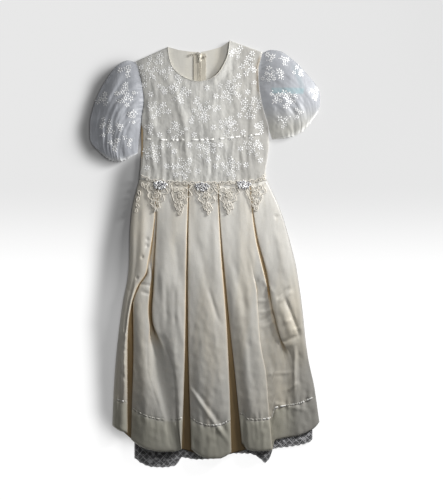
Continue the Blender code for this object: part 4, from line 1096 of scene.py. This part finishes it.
class GOWN_OT_skirt(bpy.types.Operator):
    """Makes the box-pleated satin skirt"""

    bl_idname = "gown.skirt"
    bl_label = "Skirt"

    def execute(self, context):
        rows = SKIRT_MESH_ROWS
        made, tops, folds = [], [], []
        for row in range(rows + 1):
            v = row / rows
            section, _ = skirt_section(v)
            made.append([skirt_place(x, z, top, v) for x, z, top, _ in section])
            tops.append([top for _, _, top, _ in section])
            folds.append([fold for _, _, _, fold in section])
        columns = len(made[0]) - 1

        # A paler, warmer painted highlight along the folds' edges, fading lower down the skirt and weaker on
        # the panels' tops
        def edge(column, row):
            near = folds[row][max(column - 2, 0) : column + 3]
            bright = 1.0 - 0.85 * smooth((row / rows - 0.3) / 0.45)
            return max(near) * (1.0 if tops[row][column] < 1.0 else 0.4) * bright

        def band(column, row):
            return smooth((row / rows - seam_v(made[row][column].x)) / 0.012)

        def shade(column, row):
            return 1.0 - tops[row][column] if column > columns - 8 else 0.0

        # Marks on the skirt: fold is the painted shade deep in the pleats, edge the painted highlight along
        # their edges, band the hem band, shade the painted shade on the rounded right side
        marks = {
            "fold": lambda column, row: folds[row][column], "edge": edge, "band": band, "shade": shade,
        }
        bm = grid(columns, rows, lambda column, row: made[row][column], SKIRT_CLOTH, marks)
        bmesh.ops.reverse_faces(bm, faces=bm.faces)
        front = finished("satin_skirt_front", bm, satin_material(), ["skirt_front"])
        walled(front, sizes().cloth_wall / MM)
        back = flat_copy("satin_skirt_back", "skirt_back", satin_material())
        return {"FINISHED"}


def flat_copy(name, node, material, drop=None):
    """A piece on the form of a flat CAD panel, with its loose corners joined."""
    bm = bmesh.new()
    bm.from_mesh(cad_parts[node].data)
    bmesh.ops.remove_doubles(bm, verts=bm.verts, dist=0.00001)
    bmesh.ops.dissolve_limit(bm, angle_limit=0.02, verts=bm.verts, edges=bm.edges)
    bmesh.ops.triangulate(bm, faces=bm.faces)
    uv = bm.loops.layers.uv.new("cloth")
    for face in bm.faces:
        for loop in face.loops:
            loop[uv].uv = (loop.vert.co.x, loop.vert.co.y)
    if drop:
        for vert in bm.verts:
            vert.co.z = drop(vert.co)
    obj = finished(name, bm, material, [node])
    obj.data.shade_flat()
    return obj


class GOWN_OT_bodice(bpy.types.Operator):
    """Makes the satin bodice, its sheer overlay and the lining seen through the neck"""

    bl_idname = "gown.bodice"
    bl_label = "Bodice"

    def execute(self, context):
        columns, rows = BODICE_MESH

        def plan(column, row):
            return bodice_plan(column / columns, row / rows)

        def satin(column, row):
            x, y = plan(column, row)
            return Vector((x, y, bodice_height(x, y)))

        def organza(column, row):
            x, y = plan(column, row)
            strip = math.exp(-column / 5.0) * smooth((y - 180.0) / 20.0) * smooth((290.0 - y) / 20.0)
            x += 4.2 * strip
            return Vector((x, y, organza_height(x, y)))

        # The satin's left edge, peeking from under the organza, takes the pleats' warm brown painted shade
        def side_strip_shade(column, row):
            y = plan(column, row)[1]
            return bump(column, 5.0) * smooth((y - 205.0) / 20.0) * smooth((292.0 - y) / 12.0)

        # Painted shade: a dark line beside the right armhole and a light darkening over the bodice's right
        # side, where the key light falls strongest
        def armhole(column, row):
            x, y = plan(column, row)
            beside = bump(SIDES["right"](y) - x, 5.5)
            shadow = 0.16 * smooth((x - 35.0) / 60.0)
            return shadow + 0.8 * beside * smooth((y - 345.0) / 20.0) * smooth((440.0 - y) / 12.0)

        bm = grid(columns, rows, satin, BODICE_CLOTH, {"fold": side_strip_shade, "edge": lambda column, row: 0.0})
        bmesh.ops.reverse_faces(bm, faces=bm.faces)
        front = finished("satin_bodice_front", bm, satin_material(), ["bodice_front"])
        walled(front, sizes().cloth_wall / MM)
        c = colours()
        sheer = organza_finish("bodice organza", tuple(c.organza), toned(c.organza, 0.72), 0.5)
        bm = grid(columns, rows, organza, BODICE_CLOTH, {"gap": armhole})
        bmesh.ops.reverse_faces(bm, faces=bm.faces)
        over = finished("organza_bodice_front", bm, sheer, ["bodice_front_overlay"])
        walled(over, sizes().organza_wall / MM)
        lining = satin_finish("bodice lining", LINING, LINING_FOLD_SHADE, LINING_EDGE_HIGHLIGHT, 0.5)
        for side, width, area in (("left", 0.14, 0.0366), ("right", 0.15, 0.0418)):
            inner = flat_copy(f"lining_back_{side}", f"bodice_back_{side}", lining)
            node = f"bodice_back_overlay_{side}"
            outer = flat_copy(f"organza_back_{side}", node, satin_material())
        piping = []
        for i in range(PIPING_STEPS + 1):
            x, y = bodice_plan(SHOULDER_SHARE + (1 - 2 * SHOULDER_SHARE) * i / PIPING_STEPS, 0.0)
            piping.append(Vector((x, y, organza_height(x, y - 1.0) + PIPING_LIFT)))
        bm = bmesh.new()
        tube(bm, piping, PIPING_RADIUS, sides=8)
        finished("neck_piping", bm, lining, recalculate=True)
        return {"FINISHED"}


class GOWN_OT_sleeves(bpy.types.Operator):
    """Makes the two sheer puff sleeves"""

    bl_idname = "gown.sleeves"
    bl_label = "Sleeves"

    def execute(self, context):
        c = colours()
        # The right sleeve's organza is toned darker and the left's a little lighter, against the key light from
        # the right: painted shade and painted light
        for name, rings, side, node, stain, depth in (
            ("organza_sleeve_left", LEFT_RINGS, -1, "sleeve_left", None, 1.04),
            ("organza_sleeve_right", RIGHT_RINGS, 1, "sleeve_right", STAIN_BLUE, 0.84),
        ):
            tone = toned(c.sleeve, depth)
            sheer = organza_finish(name.replace("_", " "), tone, toned(tone, 0.75), 0.42, stain)
            top_points, floor_points, rows = SLEEVE_MESH
            around = top_points + 1 + floor_points

            def place(column, row):
                index = row / rows * LAST_RING
                column %= around
                if column <= top_points:
                    return sleeve_place(rings, side, index, column / top_points, True)
                share = 1.0 - (column - top_points - 0.4) / (floor_points + 0.2)
                return sleeve_place(rings, side, index, share, False)

            marks = {"rim": lambda column, row: bump((1.0 - row / rows) * LAST_RING, 0.55)}
            bm = grid(around, rows, place, SLEEVE_CLOTH, marks)
            bmesh.ops.remove_doubles(bm, verts=bm.verts, dist=0.000005)
            sleeve = finished(name, bm, sheer, [node], recalculate=True)
        return {"FINISHED"}


THREAD_LIFT = 0.35
SLEEVE_THREAD_LIFT = 0.5
SINGLE_SIZE = 1.12


class GOWN_OT_embroidery(bpy.types.Operator):
    """Embroiders the organza with sprays of small white flowers"""

    bl_idname = "gown.embroidery"
    bl_label = "Embroidery"

    def execute(self, context):
        chance = random.Random(sizes().seed)
        size = sizes().flower / MM
        thread = thread_finish("embroidery thread", tuple(colours().flowers), 0.4, 0.85)

        def on_bodice(x, y):
            inside = x - SIDES["left"](y) > 4 and SIDES["right"](y) - x > 4
            below_neck = y < neck_y(x) - 5 and shoulder_clearance(x, y) > 5
            return inside and below_neck and y > waist_y(x) + 6

        bm = bmesh.new()
        for spot in BODICE_SPRAYS:
            spray(bm, spot, organza_height, THREAD_LIFT, chance, size, on_bodice)
        for spot in SINGLE_FLOWERS:
            turn = chance.uniform(0, 6.28)
            flower(bm, spot, size * SINGLE_SIZE, 6, turn, organza_height, THREAD_LIFT)
        finished("embroidery_bodice", bm, thread, recalculate=True)
        for side, word, rings in ((-1, "left", LEFT_RINGS), (1, "right", RIGHT_RINGS)):
            heights = sleeve_heights(rings, side)
            bm = bmesh.new()
            for spot in SLEEVE_SPRAYS:
                if spot.x * side > 0:
                    spray(
                        bm, spot, heights, SLEEVE_THREAD_LIFT, chance, size,
                        lambda x, y: heights(x, y) > 4.0,
                    )
            finished(f"embroidery_sleeve_{word}", bm, thread, recalculate=True)
        return {"FINISHED"}


def neck_y(x):
    """How high the front's cloth reaches at x."""
    best = min(range(41), key=lambda i: abs(NECK_X(i / 40) - x))
    return NECK_Y(best / 40) if FRONT_NECK[0].x < x < FRONT_NECK[-1].x else 1000.0


def sleeve_heights(rings, side):
    """The height of a sleeve's upper cloth over a place, read from its nearest points."""
    spots = []
    for i in range(91):
        for k in range(81):
            spots.append(sleeve_place(rings, side, i / 10, k / 80, True))
    tree = KDTree(len(spots))
    for index, spot in enumerate(spots):
        tree.insert(Vector((spot.x, spot.y, 0.0)), index)
    tree.balance()

    def height(x, y):
        near = tree.find_n(Vector((x, y, 0.0)), 4)
        weight = sum(1 / (distance + 0.1) for _, _, distance in near)
        if near[0][2] > 4.0:
            return 0.0
        return sum(spots[index].z / (distance + 0.1) for _, index, distance in near) / weight

    return height


class GOWN_OT_waist_lace(bpy.types.Operator):
    """Makes the corded lace at the waist and its hanging points"""

    bl_idname = "gown.waist_lace"
    bl_label = "Waist Lace"

    def execute(self, context):
        bm = bmesh.new()
        cord = sizes().cord / MM
        z = WAIST_LACE_Z + LACE_LIFT

        def braid_y(x):
            return waist_y(x) + 8.0 * smooth((-x - 116.0) / 24.0) + 5.0 * smooth((x - 108.0) / 26.0)

        def loop(points, radius=cord, closed=True, lift=0.0):
            tube(bm, [Vector((p.x, p.y, z + lift)) for p in points], radius, closed)

        def eye(centre, across, down, turn, radius=cord, lift=0.0, corners=12):
            loop(oval(*centre, across / 2, down / 2, turn, corners), radius, True, lift)

        for offset, phase in ((BRAID_SPREAD, 0.0), (-BRAID_SPREAD, math.pi)):
            line = []
            for i in range(BRAID_STEPS + 1):
                x = mix(LACE_LEFT, LACE_RIGHT, i / BRAID_STEPS)
                line.append(Point(x, braid_y(x) + offset + 1.5 * math.sin(x / 2.6 + phase)))
            loop(line, cord, False, 0.3 * math.cos(phase))
        chance = random.Random(11)
        for i in range(BRAID_LOOPS + 1):
            x = mix(LACE_LEFT + 4, LACE_RIGHT - 4, i / BRAID_LOOPS)
            centre = Point(x, braid_y(x) + chance.uniform(-1.6, 1.6))
            eye(centre, LOOP_WIDTH, 3.8, chance.uniform(-0.9, 0.9), cord * 0.8, 0.5)
        for x, y, down, turn in LOOSE_LOOPS:
            eye((x, y), LOOP_WIDTH, down, turn)
        for drop in LACE_DROPS:
            def hang(x, down):
                return Point(drop.x + x + drop.tilt * down, waist_y(drop.x + x) - WAIST_BRAID / 2 - down)

            outline_x, outline_y = arc_curves([Point(p.x, p.y * drop.length) for p in DROP_OUTLINE])
            rim = []
            for i in range(RIM_STEPS + 1):
                share = i / RIM_STEPS
                wave = 2.2 * math.sin(i * 0.5 + drop.x)
                belly = 1.08 + 0.3 * math.sin(math.pi * min(share, 1.0 - share) * 2.0) ** 2
                rim.append(hang(outline_x(share) * belly + wave, outline_y(share) + wave * 0.7))
            loop(rim, cord * 1.15, False)
            for hole in DROP_HOLES:
                centre = hang(hole.x, hole.y * drop.length)
                turn = -hole.turn + chance.uniform(-0.2, 0.2)
                eye(centre, hole.across * 1.35, hole.down * 1.15, turn, cord, 0.1)
            heart = HEART_SHARE * drop.length
            for k in range(5):
                angle = 2 * math.pi / 5 * k + drop.tilt
                centre = hang(4.4 * math.cos(angle), heart + 4.4 * math.sin(angle))
                eye(centre, 5.8, 4.4, -angle, cord * 0.85, 1.0, 10)
            for k in range(4):
                side = 1 if k % 2 else -1
                down = drop.length * (0.56 + 0.11 * k)
                centre = hang(side * (7.4 - 1.6 * k) - 1.5, down)
                eye(centre, 5.4, 8.6, side * 0.5, cord * 0.9, 0.2, 10)
            tail = drop.length - heart - 6.0
            stem = [hang(-1.5 + 1.4 * math.sin(i * 0.8), heart + 6.0 + i * tail / 14) for i in range(15)]
            loop(stem, cord, False, 0.3)
        thread = thread_finish("lace cord", tuple(colours().lace), 0.7, 0.8)
        finished("corded_waist_lace", bm, thread, ["waist_lace"], recalculate=True)
        return {"FINISHED"}


class GOWN_OT_petticoat(bpy.types.Operator):
    """Makes the petticoat and the lace below the hem"""

    bl_idname = "gown.petticoat"
    bl_label = "Petticoat"

    def execute(self, context):
        cotton = cotton_finish("petticoat cotton", COTTON)
        lace = net_finish("petticoat lace", NET_THREAD, NET_HOLE_SHADE)
        for word, base, rest, area, under in (
            ("back", PETTICOAT_BACK_Z, 0.2, 0.1986, "floor"),
            ("front", PETTICOAT_FRONT_Z, 1.4, 0.1965, "petticoat_back"),
        ):
            panel = flat_copy(f"cotton_petticoat_{word}", f"petticoat_{word}", cotton)

            def drop(co):
                above = co.z / MM - base
                return mix(base, rest, smooth((-0.408 - co.y) / 0.03)) * MM + above * 0.7 * MM

            edging = flat_copy(f"lace_petticoat_{word}", f"petticoat_lace_{word}", lace, drop)
        return {"FINISHED"}


# The ribbons' wall, widths and heights over the cloth, and the hem's mean stitch with its gap's share
RIBBON_WALL = 0.25
BUST_RIBBON_WIDTH = 4.1
HEM_RIBBON_WIDTH = 4.0
BUST_RIBBON_LIFT = 0.7
HEM_RIBBON_LIFT = 1.6
STITCH = 8.5
STITCH_GAP = 0.2
BUST_STEPS = 79


def ribbon(name, points, width, stitches, bright, material, node, arch=1.0):
    """A narrow ribbon threaded in and out of the cloth: each stitch of it, given as the share of
    the line where it comes up and goes down, arches and pinches between its two slits. Stitches
    within the bright shares lie open to the light; the rest are drawn down, dull and painted
    darker, a painted shade."""
    keys = [i / (len(points) - 1) for i in range(len(points))]
    xs, ys, zs = (Curve(keys, [point[axis] for point in points]) for axis in range(3))
    bm = bmesh.new()
    layer = bm.verts.layers.float.new("dull")
    for start, end in stitches:
        open_up = any(a <= (start + end) / 2 <= b for a, b in bright)
        made = bmesh.ops.create_grid(bm, x_segments=9, y_segments=4, size=0.5)
        for vert in made["verts"]:
            t, w = vert.co.x + 0.5, vert.co.y
            at = mix(start, end, t)
            rise = math.sin(math.pi * min(max(t, 0.0), 1.0)) ** 0.6
            edge = w * width * (0.62 + 0.38 * rise)
            height = arch * rise * (1.0 if open_up else 0.5) - 0.5 - 0.5 * (2 * w) ** 2
            height += 0.25 * math.sin(9.0 * t + 40.0 * start)
            vert[layer] = 0.0 if open_up else 1.0
            vert.co = Vector((xs(at), ys(at) + edge, zs(at) + height)) * MM
    walled(finished(name, bm, material, [node]), RIBBON_WALL)


def uneven_stitches(length, chance):
    """Stitches of uneven length along a line, as shares of it."""
    stitches, at = [], 0.01
    while at < 0.99:
        step = STITCH * chance.uniform(0.7, 1.35) / length
        stitches.append((at, min(at + step * (1 - STITCH_GAP), 0.995)))
        at += step
    return stitches


class GOWN_OT_ribbons(bpy.types.Operator):
    """Threads the narrow satin ribbons across the bodice and above the hem"""

    bl_idname = "gown.ribbons"
    bl_label = "Ribbons"

    def execute(self, context):
        f = Finish("bright ribbon", Sheen_Weight=0.3, Coat_Roughness=0.25)
        place = f.place()
        grain = f.threads(place, 700.0, "X")
        bright = f.tint(RIBBON_BRIGHT, RIBBON_GREY, f.clouds(place, 300.0).ramp(0.45, 0.75))
        # Stitches marked dull are rougher, with less coat, and painted darker: a painted shade
        f.set("Base Color", f.tint(bright, RIBBON_SHADED, f.painted("dull")))
        f.set("Roughness", grain * 0.1 + f.painted("dull") * 0.4 + 0.2)
        f.set("Coat Weight", f.painted("dull") * -0.45 + 0.5)
        f.set("Normal", f.relief(grain, 0.2, 0.0002))
        left, right = BUST_LINE[0].x, BUST_LINE[-1].x
        line = []
        for i in range(BUST_STEPS + 1):
            x = mix(left, right, i / BUST_STEPS)
            line.append(Vector((x, BUST(x), organza_height(x, BUST(x)) + BUST_RIBBON_LIFT)))
        stitches = [((a - left) / (right - left), (b - left) / (right - left)) for a, b in BUST_STITCHES]
        ribbon("ribbon_bust", line, BUST_RIBBON_WIDTH, stitches, ((0.0, 1.0),), f.material, "bust_ribbon", 1.2)
        section, tops = skirt_section(HEM_RIBBON_V)
        strips = (
            ("side", tops["side"][0] - 3, tops["side"][1] + 1, ((0.50, 0.85),)),
            ("wide", tops["inner"][0], tops["wide"][1] + 1, ((0.84, 0.95),)),
            ("centre", tops["centre"][0] - 1, tops["centre"][1] + 1, ((0.52, 0.90),)),
            ("right", tops["right"][0] - 1, tops["right"][1] + 1, ((0.74, 0.98),)),
            (
                "far", tops["low"][0] + 1, tops["far"][1] + 3,
                ((0.0, 0.24), (0.46, 0.54), (0.62, 0.82), (0.88, 1.0)),
            ),
        )
        chance = random.Random(5)
        for word, first, last, bright in strips:
            line = []
            for x, z, top, _ in section[first : last + 1]:
                if top < 0.6 or (line and x < line[-1].x + 0.5):
                    continue
                line.append(skirt_place(x, z, top, seam_v(x)) + Vector((0.0, 0.0, HEM_RIBBON_LIFT)))
            length = sum((b - a).length for a, b in zip(line[:-1], line[1:]))
            stitches, node = uneven_stitches(length, chance), f"hem_ribbon_{word}"
            ribbon(f"ribbon_hem_{word}", line, HEM_RIBBON_WIDTH, stitches, bright, f.material, node)
        return {"FINISHED"}


# Each cluster of beads: how many, and its half width and half length
BEADS = 24
CLUSTER = Point(15.5, 9.4)


class GOWN_OT_beads(bpy.types.Operator):
    """Sews the three clusters of faceted beads to the waist lace"""

    bl_idname = "gown.beads"
    bl_label = "Beads"

    def execute(self, context):
        f = Finish(
            "faceted beads", Roughness=0.08, Specular_IOR_Level=1.0, Coat_Weight=1.0, Coat_Roughness=0.05
        )
        # Near-black patches on the white stones: painted dark reflections
        dark = f.clouds(f.place(), 360.0, 1.0).ramp(0.5, 0.58)
        f.set("Base Color", f.tint(WHITE, BEAD_DARK_REFLECTION, dark))
        chance = random.Random(3)
        for spot, word in zip(BEAD_SPOTS, ("left", "middle", "right")):
            bm = bmesh.new()
            for i in range(BEADS):
                reach = math.sqrt((i + 0.5) / BEADS)
                angle = i * GOLDEN_ANGLE
                x = spot.x + CLUSTER.x * reach * math.cos(angle)
                y = spot.y + CLUSTER.y * reach * math.sin(angle)
                size = chance.uniform(2.0, 3.3) if i % 3 else 3.6
                made = bmesh.ops.create_icosphere(bm, subdivisions=1, radius=size * MM)
                bmesh.ops.scale(bm, vec=(1.0, 1.0, 0.72), verts=made["verts"])
                turn = Matrix.Rotation(chance.uniform(-0.5, 0.5), 3, "X")
                turn = turn @ Matrix.Rotation(chance.uniform(0, 3), 3, "Z")
                bmesh.ops.transform(bm, matrix=turn.to_4x4(), verts=made["verts"])
                z = WAIST_LACE_Z + 3.0 + 1.6 * (1 - reach) + chance.uniform(-0.4, 0.5)
                bmesh.ops.translate(bm, verts=made["verts"], vec=Vector((x, y, z)) * MM)
            obj = finished(f"beads_{word}", bm, f.material, [f"bead_cluster_{word}"])
            obj.data.shade_flat()
        return {"FINISHED"}


TEETH = 170
TOOTH_PITCH = 1.6
TOOTH_OFFSET = 0.6
ZIP_FOOT_Y = 165.0

# The hook and its eye: X, Y and turn of each, then where the tape's and the chain's stitches run
HOOKS = ((-29.0, 438.5, 0.4), (-14.5, 442.0, 1.2), (0.5, 434.5, -0.5))
STITCHED_X = (-25.6, 1.4, -8.6, -15.4)

# The slider's body, its pull and the pull's end: Y, height above the tape, and size
SLIDER_PARTS = (
    (437.0, 1.6, (7.0, 9.0, 2.6)), (430.0, 2.8, (4.0, 8.0, 1.2)), (424.5, 2.7, (5.6, 5.0, 1.0)),
)


class GOWN_OT_zip(bpy.types.Operator):
    """Makes the zip, its tape and the hook at the back of the neck"""

    bl_idname = "gown.zip"
    bl_label = "Zip"

    def execute(self, context):
        cloth = cotton_finish("zip tape cloth", ZIP_TAPE)
        tape = flat_copy("zip_tape_cloth", "zip_tape", cloth)
        coil = Finish("zip teeth", Roughness=0.35)
        worn = coil.clouds(coil.place(), 300.0).ramp(0.4, 0.6)
        coil.set("Base Color", coil.tint(TEETH_PALE, TEETH_WORN, worn))
        bm = bmesh.new()
        for i in range(TEETH):
            side = TOOTH_OFFSET if i % 2 else -TOOTH_OFFSET
            block(bm, (CENTRE_BACK_X + side, ZIP_FOOT_Y + i * TOOTH_PITCH, ZIP_Z + 1.2), (3.0, 1.0, 0.9))
        round_edges(bm, 0.00015, 1)
        finished("zip_teeth", bm, coil.material)

        metal = Finish("painted metal", Roughness=0.3, Metallic=0.3)
        worn = metal.clouds(metal.place(), 400.0).ramp(0.5, 0.7)
        metal.set("Base Color", metal.tint(SLIDER_PALE, SLIDER_WORN, worn))
        bm = bmesh.new()
        for y, z, size in SLIDER_PARTS:
            block(bm, (CENTRE_BACK_X, y, ZIP_Z + z), size)
        round_edges(bm, 0.0006, 2)
        finished("zip_slider", bm, metal.material)

        bm = bmesh.new()
        for x, y, turn in HOOKS:
            for k in range(3):
                ring = oval(x, y, 2.6, 1.2 + 0.7 * k, turn + 0.9 * k)
                tube(bm, [Vector((p.x, p.y, ZIP_Z + 1.8 + 0.5 * k)) for p in ring], 0.55, True)
        thread = thread_finish("worked thread", ZIP_THREAD)
        finished("hook_and_eye", bm, thread, recalculate=True)
        bm = bmesh.new()
        for x in STITCHED_X:
            z = ZIP_Z + (1.15 if abs(x - CENTRE_BACK_X) < 5 else 0.2)
            tube(bm, [Vector((x + 0.25 * math.sin(i * 0.9), 168.0 + i * 6.8, z)) for i in range(41)], 0.5)
        finished("zip_stitching", bm, thread, recalculate=True)
        return {"FINISHED"}


# The softboxes, in metres: where each stands, the Y it is turned to, its sides and its power
Lamp = namedtuple("Lamp", "name x y z aim_y width length power")
LAMPS = (
    Lamp("key from the upper right", 1.15, 0.75, 0.42, 0.25, 0.35, 0.25, 23.0),
    Lamp("soft overhead", 0.20, 0.30, 0.62, 0.20, 0.30, 0.30, 2.1),
)
ROOM = 0.06
LENS, SENSOR = 90.0, 36.0
CAMERA_AT = (0.0363, 0.0084, 2.762)
FLOOR_SIDE, FLOOR_DROP = 3.0, 0.0004

# Painted shadows on the floor beside the gown, in metres: a line, its core, its reach and its depth
FloorShade = namedtuple("FloorShade", "x0 y0 x1 y1 core reach depth")
FLOOR_SHADES = table(FloorShade, (
    (-0.184, 0.345, -0.206, 0.27, 0.058, 0.022, 1), (-0.123, 0.149, -0.152, -0.005, 0.058, 0.031, 1),
    (-0.152, -0.005, -0.169, -0.157, 0.058, 0.031, 1), (-0.169, -0.157, -0.158, -0.33, 0.058, 0.031, 1),
    (-0.132, -0.44, -0.08, -0.441, 0.01, 0.006, 1.5),
))


def lamp_on_floor(lamp, x, y):
    """The light that a softbox lays on a place of the floor, as the fraction a white one returns."""
    across, along = lamp.x - x, lamp.y - y
    reach = across * across + along * along + lamp.z**2
    aim = Vector((lamp.x, lamp.y - lamp.aim_y, lamp.z)).normalized()
    facing = across * aim.x + along * aim.y + lamp.z * aim.z
    strength = lamp.power * lamp.z / math.pi**2
    return (facing * strength).join("DIVIDE", reach * reach)


def dimmed(x, y, shade):
    """How much the painted shadow along a line of the gown dims a place of the floor: most beside it, none far
    away.
    """
    run_x, run_y = shade.x1 - shade.x0, shade.y1 - shade.y0
    length2 = run_x**2 + run_y**2
    share = ((x - shade.x0) * (run_x / length2) + (y - shade.y0) * (run_y / length2)).clamp()
    off_x, off_y = x - shade.x0 - share * run_x, y - shade.y0 - share * run_y
    far = ((off_x * off_x + off_y * off_y).power(0.5) - shade.core).join("MAXIMUM", 0.0)
    return (far * far * (-1.0 / shade.reach**2)).join("EXPONENT") * shade.depth


class GOWN_OT_stage(bpy.types.Operator):
    """Sets the pale floor, with painted light and painted shadows in its glow, the soft light and the camera
    straight above
    """

    bl_idname = "gown.stage"
    bl_label = "Stage"

    def execute(self, context):
        scene = context.scene
        scene.view_settings.view_transform = "Standard"
        f = Finish("pale floor", Roughness=0.9, Specular_IOR_Level=0.1)
        place = f.place()
        x, y = f.axis(place, 0), f.axis(place, 1)
        # The floor's colour and glow give it a set brightness, paler towards the hem, whatever the lamps lay on
        # it: painted light. The dimming beside the gown paints soft shadows into its glow.
        wanted = y.ramp(0.16, -0.08) * 0.24 + 0.806
        light = sum(lamp_on_floor(lamp, x, y) for lamp in LAMPS) + ROOM
        base = (wanted * 0.97).join("DIVIDE", light).join("MINIMUM", 0.4)
        dim = dimmed(x, y, FLOOR_SHADES[0])
        for shade in FLOOR_SHADES[1:]:
            dim = dim.join("MAXIMUM", dimmed(x, y, shade))
        dim = (dim * (y.ramp(-0.16, 0.12) * 0.32 + 0.66)).clamp()
        glow = (wanted - light * base) * (1.0 - dim)
        f.set("Base Color", f.tint(BLACK, WHITE, base))
        f.set("Emission Color", f.tint(BLACK, WHITE, glow))
        f.set("Emission Strength", 1.0)
        bm = bmesh.new()
        bmesh.ops.create_grid(bm, x_segments=1, y_segments=1, size=FLOOR_SIDE)
        bmesh.ops.translate(bm, verts=bm.verts, vec=(0.0, 0.0, -FLOOR_DROP))
        mesh = bpy.data.meshes.new("floor")
        bm.to_mesh(mesh)
        bm.free()
        floor = bpy.data.objects.new("floor", mesh)
        floor.data.materials.append(f.material)
        scene.collection.objects.link(floor)

        world = bpy.data.worlds.new("soft room")
        scene.world = world
        world.use_nodes = True
        world.node_tree.nodes["Background"].inputs["Color"].default_value = (*WHITE, 1.0)
        world.node_tree.nodes["Background"].inputs["Strength"].default_value = ROOM

        for lamp in LAMPS:
            data = bpy.data.lights.new(lamp.name, "AREA")
            data.shape = "RECTANGLE"
            data.size, data.size_y = lamp.width, lamp.length
            data.energy = lamp.power
            made = bpy.data.objects.new(lamp.name, data)
            made.location = (lamp.x, lamp.y, lamp.z)
            aim = Vector((0.0, lamp.aim_y, 0.0)) - made.location
            made.rotation_euler = aim.to_track_quat("-Z", "Y").to_euler()
            made.visible_camera = False
            scene.collection.objects.link(made)

        camera = bpy.data.objects.new("camera", bpy.data.cameras.new("camera"))
        camera.data.lens, camera.data.sensor_width = LENS, SENSOR
        camera.location = CAMERA_AT
        scene.collection.objects.link(camera)
        scene.camera = camera
        return {"FINISHED"}


STEPS = (
    "bodice", "sleeves", "skirt", "petticoat", "embroidery", "waist_lace", "ribbons", "beads", "zip", "stage",
)


class GOWN_PT_panel(bpy.types.Panel):
    bl_label = "Christening Gown"
    bl_space_type = "VIEW_3D"
    bl_region_type = "UI"
    bl_category = "Gown"

    def draw(self, context):
        for group in (context.scene.gown_sizes, context.scene.gown_colours):
            for name in group.__annotations__:
                self.layout.prop(group, name)
        for step in STEPS:
            self.layout.operator(f"gown.{step}")


CLASSES = (
    GownSizes, GownColours, GOWN_OT_bodice, GOWN_OT_sleeves, GOWN_OT_skirt, GOWN_OT_petticoat,
    GOWN_OT_embroidery, GOWN_OT_waist_lace, GOWN_OT_ribbons, GOWN_OT_beads, GOWN_OT_zip,
    GOWN_OT_stage, GOWN_PT_panel,
)


def register():
    for cls in CLASSES:
        bpy.utils.register_class(cls)
    bpy.types.Scene.gown_sizes = PointerProperty(type=GownSizes)
    bpy.types.Scene.gown_colours = PointerProperty(type=GownColours)


def unregister():
    del bpy.types.Scene.gown_sizes
    del bpy.types.Scene.gown_colours
    for cls in reversed(CLASSES):
        bpy.utils.unregister_class(cls)


def main():
    register()
    for step in STEPS:
        getattr(bpy.ops.gown, step)()
    bpy.context.view_layer.update()


if __name__ == "__main__":
    main()
